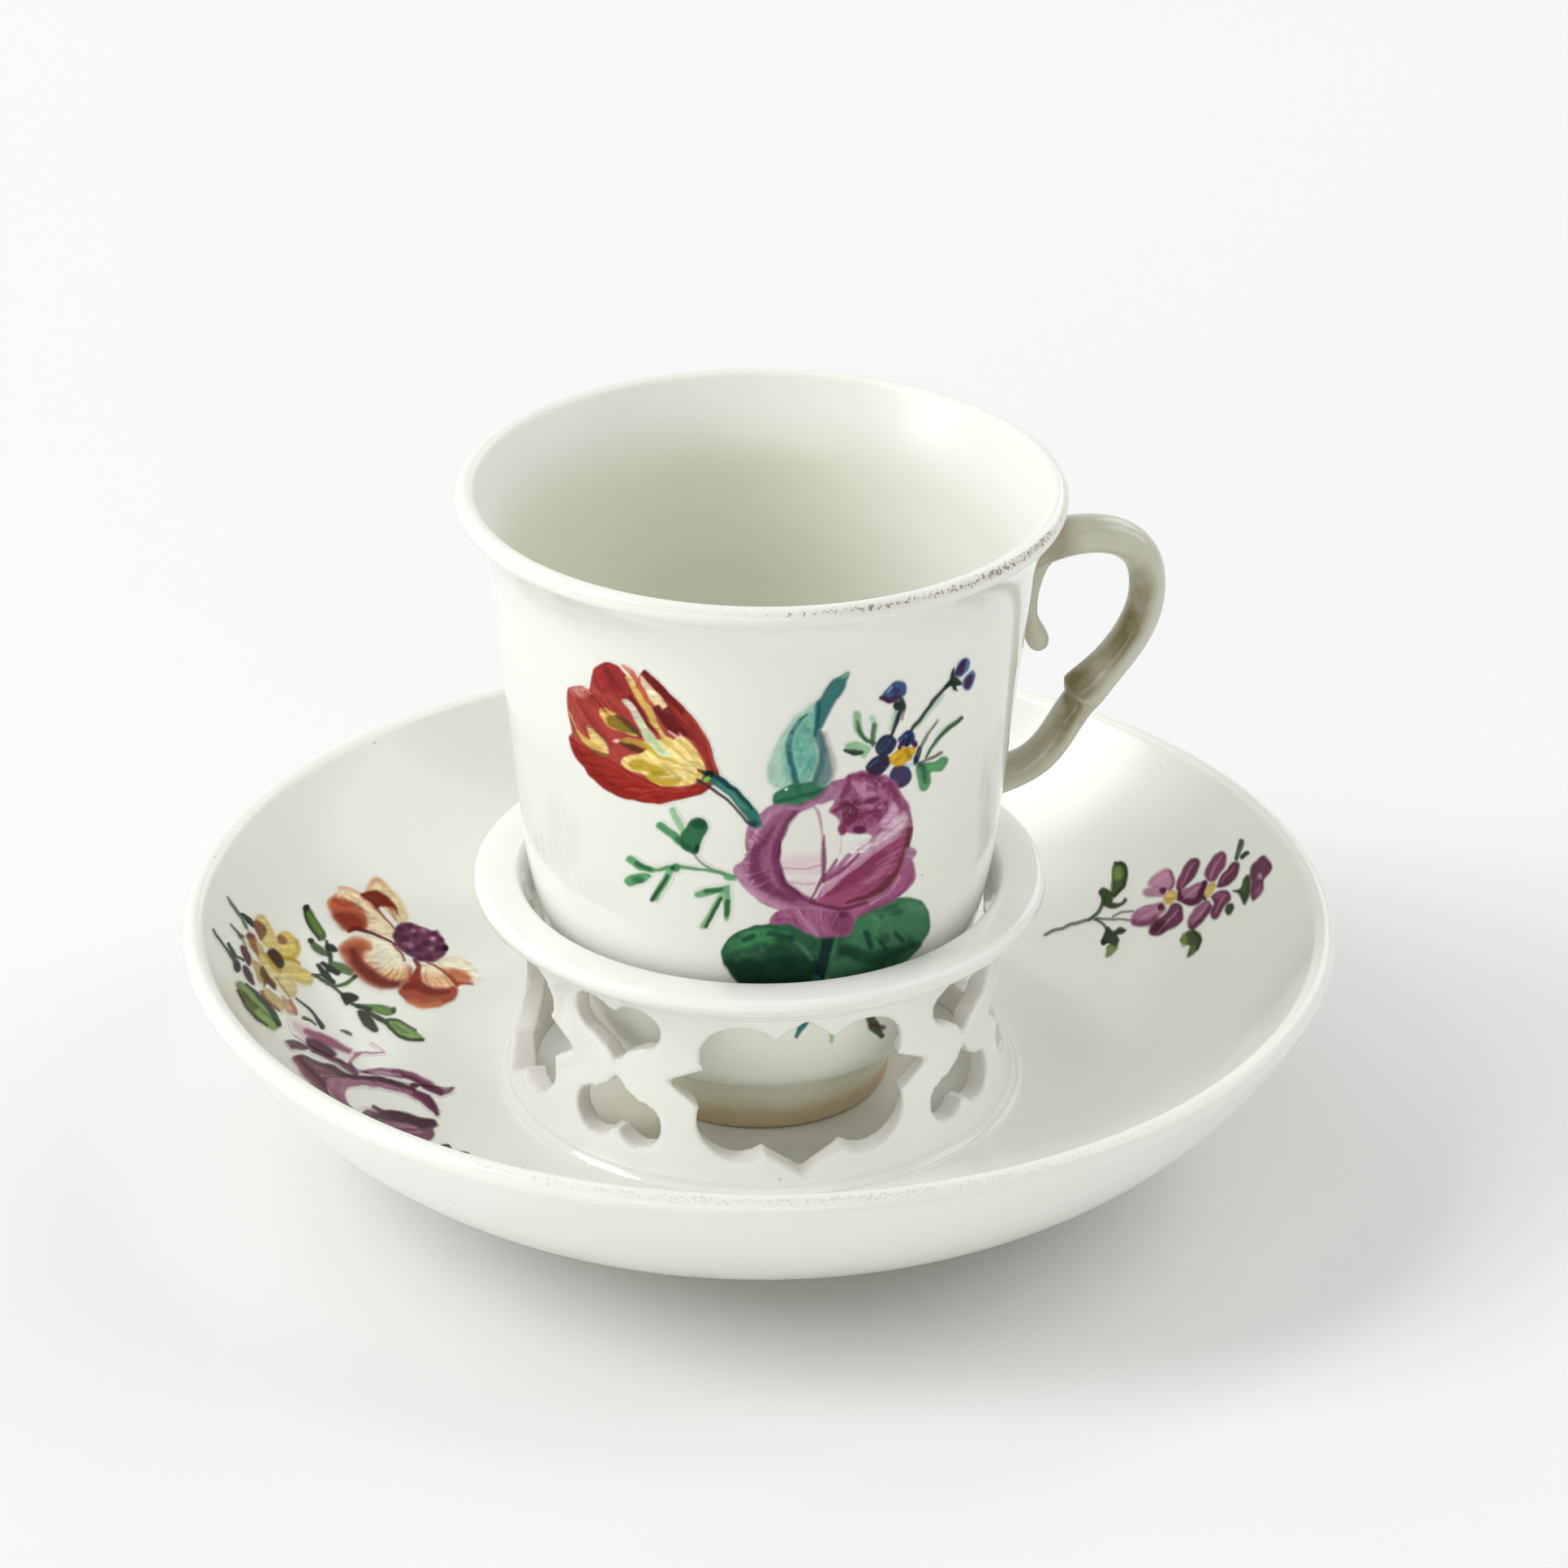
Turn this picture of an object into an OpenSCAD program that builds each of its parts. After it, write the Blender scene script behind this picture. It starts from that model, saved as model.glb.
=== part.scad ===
// Trembleuse: a handled porcelain cup that stands in the pierced gallery of its deep saucer.
// Millimetres. The table is z = 0, the common axis is Z and the handle points along +X.

/* [Saucer] */
// Width over the saucer's rounded lip
saucer_d = 145; // [138:1:156]
// Height of the saucer's lip above the table
saucer_h = 30.7; // [28:0.1:34]
// Height of the saucer's flat floor above the table
floor_h = 7; // [6.4:0.1:8]
// Thickness of the saucer's floor
floor_t = 3.2; // [2.8:0.1:3.6]
// Thickness of the rounded bead along the saucer's lip
saucer_lip_t = 2.9; // [2.5:0.1:3.4]
// Width over the saucer's foot ring
saucer_foot_d = 78; // [72:1:80]
// Width of the foot ring's band
saucer_foot_w = 4; // [3:0.1:5]
// Rounding of the foot ring's worn edges
foot_worn = 0.6; // [0.3:0.1:1]
// How far the foot ring widens where it meets the dish
foot_flare = 0.5; // [0.2:0.1:0.8]
// Flat floor left outside the gallery's base
flat_margin = 2.4; // [1.5:0.1:3]
// Flat underside left outside the foot ring
under_margin = 1; // [0.6:0.1:1.5]

/* [Gallery] */
// Outside diameter of the gallery's waist
gallery_d = 62; // [60:0.5:64]
// Thickness of the gallery's wall
gallery_t = 2.6; // [2.2:0.1:2.8]
// Height of the gallery from the saucer's floor
gallery_h = 29.2; // [28:0.1:31]
// Width over the gallery's out-turned rim
gallery_rim_d = 72; // [70:0.5:75]
// Height of the out-turned rim
gallery_rim_t = 3.2; // [2.8:0.1:3.6]
// Width of the out-turned rim's band
gallery_rim_w = 5.9; // [5.4:0.1:6.4]
// How far the rim's edge overhangs the wall under it
gallery_rim_over = 2.6; // [2.2:0.1:3]
// Step from the wall's inner face out to the rim's inner edge
gallery_rim_step = 0.8; // [0.5:0.1:1.1]
// Rounding of the rim's outer edge
rim_round = 1.25; // [1:0.05:1.4]
// Rounding of the rim's inner edge
rim_inner_round = 0.9; // [0.6:0.05:1.2]
// Height over which the wall leans out to meet the rim
lean_h = 8; // [6:0.5:9]
// How far the wall's inner face leans out to meet the rim
lean_in = 0.9; // [0.6:0.1:1.2]
// How far the wall's base spreads on the saucer's floor
gallery_spread = 2.6; // [1.5:0.1:3]

/* [Piercing] */
// How many large barbed windows the gallery has
window_count = 4; // [3:1:4]
// Width of a large window over its side barbs
window_w = 32.4; // [28:0.2:33]
// Height of a large window over its upper and lower barbs
window_h = 22; // [19:0.2:22.4]
// Width of a heart
heart_w = 12.5; // [10:0.1:13]
// Height of a heart
heart_h = 9; // [7.6:0.1:9.2]
// Clay between the two points of a pair of hearts
heart_gap = 1.8; // [1.4:0.1:2.6]
// How far the windows' centres sit above the middle of the wall
window_lift = 0.1; // [-0.3:0.1:0.3]
// How far the hearts' points sit above the windows' centres
heart_lift = 0.9; // [0.5:0.1:1.2]

/* [Cup] */
// Width over the cup's flared lip
cup_d = 74.6; // [73:0.2:78]
// Height of the cup from its foot to its lip
cup_h = 81.3; // [78:0.1:86]
// Thickness of the cup's wall
cup_t = 2.5; // [2.1:0.1:2.9]
// Thickness of the cup's rounded lip
cup_lip_t = 2.6; // [2.3:0.1:2.9]
// Thickness of the cup's floor
cup_floor_t = 3.4; // [2.8:0.1:4]
// Height of the part under the lip that turns out
lip_flare_h = 11.5; // [10:0.1:13]
// How far the lip turns out past the wall below it
lip_flare = 4.06; // [3.5:0.02:4.6]
// Gap all round between the cup and the gallery's neck
seat_gap = 1; // [0.7:0.1:1.3]
// How far below the gallery's rim the cup comes nearest to the neck
neck_drop = 2.3; // [1.8:0.1:3]
// Height above the neck up to which the wall draws in towards the foot
draw_h = 12.3; // [11:0.1:14]
// How much the wall has drawn in where it passes the neck
draw_in = 1.12; // [0.9:0.02:1.3]
// Height from the neck down to where the belly turns under
belly_drop = 6.8; // [6:0.1:7.4]
// Width over the cup's foot ring
cup_foot_d = 33.6; // [31:0.2:35]
// Height of the cup's foot ring
cup_foot_h = 7; // [6:0.1:7.4]
// Width of the cup's foot ring band
cup_foot_w = 4.2; // [3:0.1:5]
// How much the cup's foot ring tapers to its worn edge
cup_foot_taper = 0.6; // [0.3:0.1:0.9]
// How far the cup's underside starts outside its foot ring
cup_foot_cove = 0.5; // [0.3:0.1:0.8]
// Gap between the cup's foot ring and the saucer's floor
rest_gap = 0.2; // [0.1:0.05:0.3]

/* [Handle] */
// How far the handle stands out from the cup's wall
handle_reach = 17.8; // [16:0.2:20]
// Distance from the cup's lip down to the handle's upper root
handle_top = 11.3; // [10.6:0.1:12.4]
// Distance between the handle's upper and lower roots
handle_drop = 30.8; // [29:0.2:33]
// Thickness of the handle's bow seen from the side
handle_t = 4.3; // [3.8:0.1:4.8]
// Width of the handle's bow across the cup
handle_w = 5.6; // [4.8:0.1:6.4]
// Swelling at the knuckle where the two scrolls meet
knuckle_swell = 0.7; // [0.4:0.1:1]
// Distance from the handle's upper root down to the start of the spur
spur_top = 1.6; // [1.2:0.1:2]
// Length of the small spur that runs down the cup's wall
spur_l = 12; // [10:0.2:13]
// Thickness of the bud at the end of the spur
bud_d = 2.8; // [2.2:0.1:3.2]

/* [Hidden] */
$fn = 96;
curve_n = 14;
gallery_n = 6;
under_z = floor_h - floor_t;
lip_r = saucer_lip_t / 2;
lip_x = saucer_d / 2 - lip_r;
lip_z = saucer_h - lip_r;
// the flat part of the saucer's floor and underside
flat_r = gallery_d / 2 + gallery_spread + flat_margin;
flat_under_r = saucer_foot_d / 2 + under_margin;
// where the dish's two faces run into the bead of the lip
lip_out_a = -80;
lip_in_a = 188;

rim_z = floor_h + gallery_h;
seam_z = rim_z - gallery_rim_t;
waist_r = gallery_d / 2;
neck_r = waist_r - gallery_t;
// the rim's band, and the two faces of the wall where they meet it
rim_r = gallery_rim_d / 2;
rim_inner_r = rim_r - gallery_rim_w;
wall_top_r = rim_r - gallery_rim_over;
neck_top_r = rim_inner_r - gallery_rim_step;
// the cup is fitted to the narrowest place of the gallery
seat_r = min(neck_r, neck_top_r - lean_in) - seat_gap;

window_z = (floor_h + seam_z) / 2 + window_lift;
// places and sizes of the window's lobes, as parts of its half width and height
lobe_up = [0.481, 0.245];
lobe_low = [0.488, -0.173];
lobe_up_r = 0.209;
lobe_low_r = 0.223;
barb_z = 0.05;
heart_lobe = 0.244;
heart_z = window_z + heart_lift;

foot_z = floor_h + rest_gap;
cup_top = foot_z + cup_h;
cup_base_z = foot_z + cup_foot_h;
cup_lip_r = cup_lip_t / 2;
cup_lip_x = cup_d / 2 - cup_lip_r;
cup_lip_z = cup_top - cup_lip_r;
cup_lip_out_a = -55;
cup_lip_in_a = 190;
// the wall passes the gallery's neck here and widens evenly above it
neck_z = seam_z - neck_drop;
flare_z = cup_top - lip_flare_h;
belly_z = neck_z - belly_drop;
// below this height the wall draws in towards the foot
draw_z = neck_z + draw_h;
draw_k = draw_in / pow(draw_h, 2);
wall_slope = (cup_d / 2 - lip_flare - seat_r - draw_in) / (flare_z - neck_z);
foot_top_r = cup_foot_d / 2 + cup_foot_cove;
cup_floor_z = cup_base_z + cup_floor_t;

root_z = cup_top - handle_top;
low_z = root_z - handle_drop;
bury = 0.9;
ring_n = 20;
step_n = 16;

function lerp(a, b, t) = a + (b - a) * t;
function mix4(a, b, c, d, t) =
    pow(1 - t, 3) * a + 3 * pow(1 - t, 2) * t * b + 3 * (1 - t) * t * t * c + pow(t, 3) * d;
function bez(a, b, c, d, n = curve_n) = [for (i = [0:n]) mix4(a, b, c, d, i / n)];
function arc(cx, cz, r, a0, a1, n = curve_n) =
    [for (i = [0:n]) [cx + r * cos(lerp(a0, a1, i / n)), cz + r * sin(lerp(a0, a1, i / n))]];
function rev(v) = [for (i = [len(v) - 1:-1:0]) v[i]];
function trim(v) = [for (i = [1:len(v) - 2]) v[i]];

// radius of the cup's outer wall at a height between the belly and the flare
function wall_r(z) = seat_r + draw_in + wall_slope * (z - neck_z) - draw_k * pow(max(0, draw_z - z), 2);
function wall_lean(z) = wall_slope + 2 * draw_k * max(0, draw_z - z);

// Saucer

module dish_profile() {
    out = arc(lip_x, lip_z, lip_r, lip_out_a, lip_in_a, 2 * curve_n);
    a = out[0];
    b = out[len(out) - 1];
    rise = lip_z - under_z;
    outer = bez([flat_under_r, under_z],
                [lerp(flat_under_r, a[0], 0.45), under_z + 0.045 * rise],
                [lerp(flat_under_r, a[0], 0.83), under_z + 0.54 * rise], a);
    inner = bez([flat_r, floor_h],
                [lerp(flat_r, b[0], 0.5), floor_h + 0.02 * rise],
                [lerp(flat_r, b[0], 0.83), floor_h + 0.47 * rise], b);
    polygon(concat([[0, under_z]], outer, trim(out), rev(inner), [[0, floor_h]]));
}

module saucer_dish() {
    color("#eef0ea") rotate_extrude() dish_profile();
}

module saucer_foot_ring() {
    r = saucer_foot_d / 2;
    inner_r = r - saucer_foot_w;
    color("#c9c1a6") rotate_extrude()
        polygon([[inner_r, under_z], [inner_r, foot_worn], [inner_r + foot_worn, 0],
                 [r - foot_worn, 0], [r, foot_worn], [r + foot_flare, under_z]]);
}

// Gallery

module gallery_profile() {
    cove = gallery_spread;
    outer = concat(bez([waist_r + cove, floor_h],
                       [waist_r + 0.35 * cove, floor_h + 0.2 * cove],
                       [waist_r + 0.12 * cove, floor_h + 1.2 * cove],
                       [waist_r, floor_h + 3.4 * cove], gallery_n),
                   bez([waist_r, seam_z - lean_h], [waist_r, seam_z - 0.56 * lean_h],
                       [lerp(waist_r, wall_top_r, 0.35), seam_z - 0.2 * lean_h],
                       [wall_top_r, seam_z], gallery_n));
    inner = bez([neck_top_r, seam_z], [lerp(neck_r, neck_top_r, 0.4), seam_z - 0.19 * lean_h],
                [neck_r, seam_z - 0.38 * lean_h], [neck_r, seam_z - 0.62 * lean_h], gallery_n);
    polygon(concat(outer, inner, [[neck_r, floor_h]]));
}

// one large window: four round lobes and four barbs, drawn flat about its centre
module window_shape() {
    hw = window_w / 2;
    for (s = [-1, 1]) {
        translate([s * lobe_up[0] * hw, lobe_up[1] * window_h]) circle(r = lobe_up_r * window_h);
        translate([s * lobe_low[0] * hw, lobe_low[1] * window_h]) circle(r = lobe_low_r * window_h);
    }
    half = [[0, 0.5], [0.19, 0.38], [0.68, 0.173], [1, barb_z],
            [0.765, -0.091], [0.25, -0.373], [0, -0.5]];
    right = [for (p = half) [p[0] * hw, p[1] * window_h]];
    left = [for (p = rev(trim(half))) [-p[0] * hw, p[1] * window_h]];
    polygon(concat(right, left));
}

// one heart, its point at the origin and its lobes above
module heart_shape() {
    r = heart_lobe * heart_w;
    for (s = [-1, 1]) translate([s * (heart_w / 2 - r), heart_h - r]) circle(r = r);
    w = heart_w / 2;
    polygon([[0, 0], [0.22 * w, 0.2 * heart_h], [0.8 * w, 0.42 * heart_h],
             [0, 0.86 * heart_h], [-0.8 * w, 0.42 * heart_h], [-0.22 * w, 0.2 * heart_h]]);
}

// pushes a flat shape, standing upright, through the wall that faces -Y, starting inside the ring
module pierce(z, from) {
    translate([0, -from, z]) rotate([90, 0, 0]) linear_extrude(height = gallery_d / 2) children();
}

module gallery_wall() {
    step = 360 / window_count;
    color("#f0f2ec") difference() {
        rotate_extrude() gallery_profile();
        for (i = [0:window_count - 1]) {
            rotate([0, 0, i * step]) pierce(window_z, 0.75 * neck_r) window_shape();
            rotate([0, 0, (i + 0.5) * step]) {
                pierce(heart_z + heart_gap / 2, 0.92 * neck_r) heart_shape();
                pierce(heart_z - heart_gap / 2, 0.92 * neck_r) mirror([0, 1]) heart_shape();
            }
        }
    }
}

module gallery_rim() {
    edge = arc(rim_r - rim_round, rim_z - rim_round, rim_round, -70, 90);
    inside = arc(rim_inner_r + rim_inner_round, rim_z - rim_inner_round, rim_inner_round, 90, 180);
    color("#f3f5ef") rotate_extrude()
        polygon(concat([[neck_top_r, seam_z], [wall_top_r, seam_z]], edge, inside));
}

// Cup

module cup_profile() {
    lip = arc(cup_lip_x, cup_lip_z, cup_lip_r, cup_lip_out_a, cup_lip_in_a, 2 * curve_n);
    a = lip[0];
    b = lip[len(lip) - 1];
    belly_r = wall_r(belly_z);
    flare_r = wall_r(flare_z);
    rise = belly_z - cup_base_z;
    belly = bez([foot_top_r, cup_base_z],
                [lerp(foot_top_r, belly_r, 0.46), cup_base_z + 0.04 * rise],
                [belly_r - wall_lean(belly_z) * 0.6 * rise, belly_z - 0.6 * rise],
                [belly_r, belly_z]);
    wall_n = 2 * curve_n;
    wall = [for (i = [1:wall_n]) let (z = lerp(belly_z, flare_z, i / wall_n)) [wall_r(z), z]];
    climb = a[1] - flare_z;
    flare = bez([flare_r, flare_z], [flare_r + wall_slope * 0.5 * climb, flare_z + 0.5 * climb],
                [lerp(flare_r, a[0], 0.55), flare_z + 0.83 * climb], a);
    fall = b[1] - flare_z;
    bore_r = flare_r - cup_t;
    inflare = bez(b, [lerp(b[0], bore_r, 0.4), b[1] - 0.28 * fall],
                  [bore_r + wall_slope * 0.45 * fall, flare_z + 0.45 * fall], [bore_r, flare_z]);
    turn_z = belly_z + 0.8 * cup_t;
    inwall = [for (i = [1:wall_n]) let (z = lerp(flare_z, turn_z, i / wall_n)) [wall_r(z) - cup_t, z]];
    c = inwall[len(inwall) - 1];
    drop = c[1] - cup_floor_z;
    bowl = bez(c, [c[0] - wall_lean(c[1]) * 0.55 * drop, c[1] - 0.55 * drop],
               [0.72 * c[0], cup_floor_z], [0.3 * c[0], cup_floor_z]);
    outside = concat(belly, wall, trim(flare), lip);
    inside = concat(trim(inflare), [[bore_r, flare_z]], inwall, trim(bowl));
    polygon(concat([[0, cup_base_z]], outside, inside, [[0.3 * c[0], cup_floor_z], [0, cup_floor_z]]));
}

module cup_body() {
    color("#f5f6f1") rotate_extrude() cup_profile();
}

module cup_foot_ring() {
    r = cup_foot_d / 2;
    taper = cup_foot_taper;
    inner_r = r - cup_foot_w;
    outer = bez([r - taper, foot_z], [r - 0.17 * taper, foot_z + 0.1 * cup_foot_h],
                [r + 0.33 * taper, foot_z + 0.6 * cup_foot_h], [r - 0.5 * taper, cup_base_z]);
    color("#bdb496") rotate_extrude()
        polygon(concat(outer, [[inner_r - taper, cup_base_z], [inner_r, foot_z + taper],
                               [inner_r + taper, foot_z]]));
}

// Handle

// a tube through a list of [x, z] places, each with its own half thickness and half width
module tube(path, thick, wide) {
    n = len(path);
    ends = [for (i = [0:n - 1]) let (d = path[min(n - 1, i + 1)] - path[max(0, i - 1)]) d / norm(d)];
    points = [for (i = [0:n - 1]) for (k = [0:ring_n - 1])
              let (a = 360 * k / ring_n, u = thick[i] * cos(a))
              [path[i][0] - ends[i][1] * u, wide[i] * sin(a), path[i][1] + ends[i][0] * u]];
    sides = [for (i = [0:n - 2]) for (k = [0:ring_n - 1])
             let (p = i * ring_n + k, q = i * ring_n + (k + 1) % ring_n)
             each [[p, q, q + ring_n], [p, q + ring_n, p + ring_n]]];
    first = [for (k = [ring_n - 1:-1:0]) k];
    last = [for (k = [0:ring_n - 1]) (n - 1) * ring_n + k];
    polyhedron(points, concat([first], sides, [last]));
}

// side view of the handle's middle line: bow, swell down to the knuckle, tail back to the wall
function handle_path() =
    let (x = wall_r(root_z), out = handle_reach - handle_t / 2, low = wall_r(low_z),
         far = [x + out, root_z - 0.2 * handle_drop],
         knee = [x + 0.43 * out, root_z - 0.708 * handle_drop],
         bow = bez([x - bury, root_z - 0.013 * handle_drop],
                   [x + 0.33 * out, root_z + 0.07 * handle_drop],
                   [far[0], root_z + 0.11 * handle_drop], far, step_n),
         swell = bez(far, [far[0], far[1] - 0.195 * handle_drop],
                     [x + 0.72 * out, root_z - 0.54 * handle_drop], knee, step_n),
         tail = bez(knee, [x + 0.276 * out, root_z - 0.805 * handle_drop],
                    [low + 0.41 * out, low_z], [low - bury, low_z - 0.006 * handle_drop], step_n))
    concat(bow, [for (i = [1:step_n]) swell[i]], [for (i = [1:step_n]) tail[i]]);

// half thickness along the handle, from 0 at the upper root to 3 at the lower one
function handle_taper(u) =
    u < 1 ? lerp(1.4, 1, sqrt(u)) :
    u < 2.4 ? 1 - 0.04 * (u - 1) :
    0.944 + 0.3 * pow((u - 2.4) / 0.6, 3);
function handle_half(u) =
    handle_t / 2 * handle_taper(u) + knuckle_swell * exp(-pow((u - 2) / (u < 2 ? 0.2 : 0.07), 2));

module cup_handle() {
    path = handle_path();
    at = [for (i = [0:len(path) - 1]) 3 * i / (len(path) - 1)];
    thick = [for (u = at) handle_half(u)];
    wide = [for (u = at) handle_w / 2 * (1 + 0.22 * pow(abs(u - 1.5) / 1.5, 4))
            + 0.4 * knuckle_swell * exp(-pow((u - 2) / 0.15, 2))];
    color("#e6e8df") tube(path, thick, wide);
}

// half thickness along the spur: it thins, then swells into the bud and closes
function spur_taper(t) =
    t < 0.55 ? lerp(1.25, 0.66, sqrt(t / 0.55)) :
    lerp(0.66, 0.98, sin(90 * min(1, (t - 0.55) / 0.25)));
function spur_half(t) =
    bud_d / 2 * spur_taper(t) * (t < 0.8 ? 1 : sqrt(max(0.02, 1 - pow((t - 0.8) / 0.2, 2))));

module handle_spur() {
    top_z = root_z - spur_top;
    end_z = top_z - spur_l;
    hug = wall_r(end_z + 0.4 * spur_l) + 0.27 * bud_d;
    path = bez([wall_r(top_z) + 0.64 * bud_d, top_z], [hug - 0.11 * bud_d, top_z - 0.35 * spur_l],
               [hug - 0.04 * bud_d, top_z - 0.62 * spur_l], [hug + 0.68 * bud_d, end_z], 2 * step_n);
    half = [for (i = [0:len(path) - 1]) spur_half(i / (len(path) - 1))];
    color("#e2e5da") tube(path, half, half);
}

saucer_dish();
saucer_foot_ring();
gallery_wall();
gallery_rim();
cup_body();
cup_foot_ring();
cup_handle();
handle_spur();
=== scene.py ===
import math

import bmesh
import bpy
import numpy as np
from mathutils import Matrix


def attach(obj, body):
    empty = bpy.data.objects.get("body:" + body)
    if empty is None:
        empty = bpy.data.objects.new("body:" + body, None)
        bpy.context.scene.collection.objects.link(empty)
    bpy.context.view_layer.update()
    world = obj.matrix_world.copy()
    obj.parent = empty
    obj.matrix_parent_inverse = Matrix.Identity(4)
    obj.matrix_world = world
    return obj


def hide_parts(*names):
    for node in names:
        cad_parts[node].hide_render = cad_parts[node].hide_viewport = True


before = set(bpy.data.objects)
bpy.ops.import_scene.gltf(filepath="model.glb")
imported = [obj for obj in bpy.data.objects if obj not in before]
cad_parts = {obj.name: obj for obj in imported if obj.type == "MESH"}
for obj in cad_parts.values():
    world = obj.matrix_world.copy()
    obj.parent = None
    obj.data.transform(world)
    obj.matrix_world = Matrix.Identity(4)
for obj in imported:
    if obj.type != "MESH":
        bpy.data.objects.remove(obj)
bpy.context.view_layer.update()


# Camera: it looks down on the standing cup from the front, a little to the left of the cup's axis.
# The painted flowers below are drawn as they are seen from here, in a square picture 1932 dots wide.
PICTURE = 1932
LENS_DOTS = 6500
camera_data = bpy.data.cameras.new("camera")
camera_data.sensor_width = 36
camera_data.lens = 36 * LENS_DOTS / PICTURE
camera_data.clip_start = 0.01
camera = bpy.data.objects.new("camera", camera_data)
bpy.context.scene.collection.objects.link(camera)
camera.matrix_world = (Matrix.Translation((-0.10704, -0.57754, 0.34605))
                       @ Matrix.Rotation(math.radians(-10.79), 4, "Z")
                       @ Matrix.Rotation(math.radians(63.05), 4, "X")
                       @ Matrix.Rotation(math.radians(0.48), 4, "Z"))
bpy.context.scene.camera = camera
bpy.context.scene.view_settings.view_transform = "Standard"


# Saucer dish: a deep round dish of white porcelain, thrown on the wheel, with a rolled lip and a small
# fillet where the gallery's wall is luted to its floor. The lip's glaze is worn to bare clay in front.
MM = 0.001


def bow_line(a, b, c, d, count):
    """A bowed line from a to d that sets out towards b and comes in from c."""
    t = np.linspace(0, 1, count + 1)[:, None]
    a, b, c, d = (np.array(p, float) for p in (a, b, c, d))
    return (1 - t) ** 3 * a + 3 * (1 - t) ** 2 * t * b + 3 * (1 - t) * t * t * c + t ** 3 * d


def round_line(x, z, r, start, end, count):
    """Part of a circle, from one angle to another in degrees."""
    t = np.radians(np.linspace(start, end, count + 1))
    return np.column_stack([x + r * np.cos(t), z + r * np.sin(t)])


def even_line(line, gap):
    """The same line with its points set evenly."""
    line = np.asarray(line, float)
    run = np.concatenate([[0], np.cumsum(np.hypot(*np.diff(line, axis=0).T))])
    at = np.linspace(0, run[-1], max(2, int(round(run[-1] / gap)) + 1))
    return np.column_stack([np.interp(at, run, line[:, 0]), np.interp(at, run, line[:, 1])])


def turn_on_wheel(name, line, steps):
    """A piece of clay whose section, in millimetres out and up, is turned round the upright axis."""
    line = np.asarray(line, float) * MM
    bpy.ops.object.select_all(action="DESELECT")
    bpy.ops.mesh.primitive_plane_add(size=0.001, location=(0, 0, 0))
    piece = bpy.context.object
    piece.name = name
    bpy.ops.object.mode_set(mode="EDIT")
    bpy.ops.mesh.select_all(action="SELECT")
    bpy.ops.mesh.merge(type="CENTER")
    bpy.ops.transform.translate(value=(line[0][0], 0, line[0][1]))
    for move in np.diff(line, axis=0):
        bpy.ops.mesh.extrude_vertices_move(TRANSFORM_OT_translate={"value": (move[0], 0, move[1])})
    bpy.ops.mesh.select_all(action="SELECT")
    bpy.ops.mesh.spin(steps=steps, angle=2 * math.pi, center=(0, 0, 0), axis=(0, 0, 1))
    bpy.ops.mesh.select_all(action="SELECT")
    bpy.ops.mesh.remove_doubles(threshold=2e-6)
    bpy.ops.mesh.normals_make_consistent(inside=False)
    bpy.ops.object.mode_set(mode="OBJECT")
    bpy.ops.object.shade_smooth()
    return piece


def points_of(piece, what="co"):
    values = np.empty(len(piece.data.vertices) * 3, np.float32)
    piece.data.vertices.foreach_get(what, values)
    return values.reshape(-1, 3).astype(float)


def note_on_points(piece, name, values):
    piece.data.attributes.new(name, "FLOAT", "POINT").data.foreach_set("value", values.astype(np.float32))


def soft_step(x, low, high):
    t = np.clip((x - low) / (high - low), 0, 1)
    return t * t * (3 - 2 * t)


def bell(x, middle, spread):
    return np.exp(-((x - middle) / spread) ** 2)


def lip_crest(co, lip, middle, above):
    """How near points lie to the crest of a rolled lip, which is at an angle up from outward."""
    over = np.degrees(np.arctan2(co[:, 2] - lip[1], np.hypot(co[:, 0], co[:, 1]) - lip[0]))
    return bell(over, middle, 24) * (co[:, 2] > above)


class Finish:
    """A material made of nodes; add() puts a node in and wires its inputs by name, or by number as i0, i1 and on."""

    def __init__(self, name, kind="materials"):
        self.made = getattr(bpy.data, kind).new(name)
        self.made.use_nodes = True
        self.nodes, self.links = self.made.node_tree.nodes, self.made.node_tree.links
        self.surface = self.nodes.get("Principled BSDF")
        self.place = self.add("TexCoord").outputs["Object"]

    def put(self, socket, value):
        if isinstance(value, bpy.types.NodeSocket):
            self.links.new(value, socket)
        else:
            socket.default_value = value

    def add(self, kind, settings=None, **inputs):
        made = self.nodes.new("ShaderNode" + kind)
        for key, value in (settings or {}).items():
            setattr(made, key, value)
        for key, value in inputs.items():
            self.put(made.inputs[int(key[1:]) if key[0] == "i" and key[1:].isdigit() else key], value)
        return made

    def math(self, operation, a, b):
        return self.add("Math", {"operation": operation}, i0=a, i1=b).outputs[0]

    def noise(self, scale, detail=2.0, rough=0.5):
        return self.add("TexNoise", Vector=self.place, Scale=scale, Detail=detail, Roughness=rough).outputs["Fac"]

    def ramp(self, value, low, high, to_low=0.0, to_high=1.0):
        return self.add("MapRange", {"interpolation_type": "SMOOTHSTEP"}, i0=value, i1=low, i2=high,
                        i3=to_low, i4=to_high).outputs[0]

    def mix(self, factor, a, b):
        return self.add("Mix", {"data_type": "RGBA"}, Factor=factor, i6=a, i7=b).outputs[2]

    def noted(self, name, output="Fac"):
        return self.add("Attribute", {"attribute_name": name}).outputs[output]

    def wear(self, piece):
        piece.data.materials.clear()
        piece.data.materials.append(self.made)


def tint(code):
    part = [int(code[i:i + 2], 16) / 255 for i in (1, 3, 5)]
    return tuple(c / 12.92 if c <= 0.04045 else ((c + 0.055) / 1.055) ** 2.4 for c in part) + (1.0,)


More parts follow.
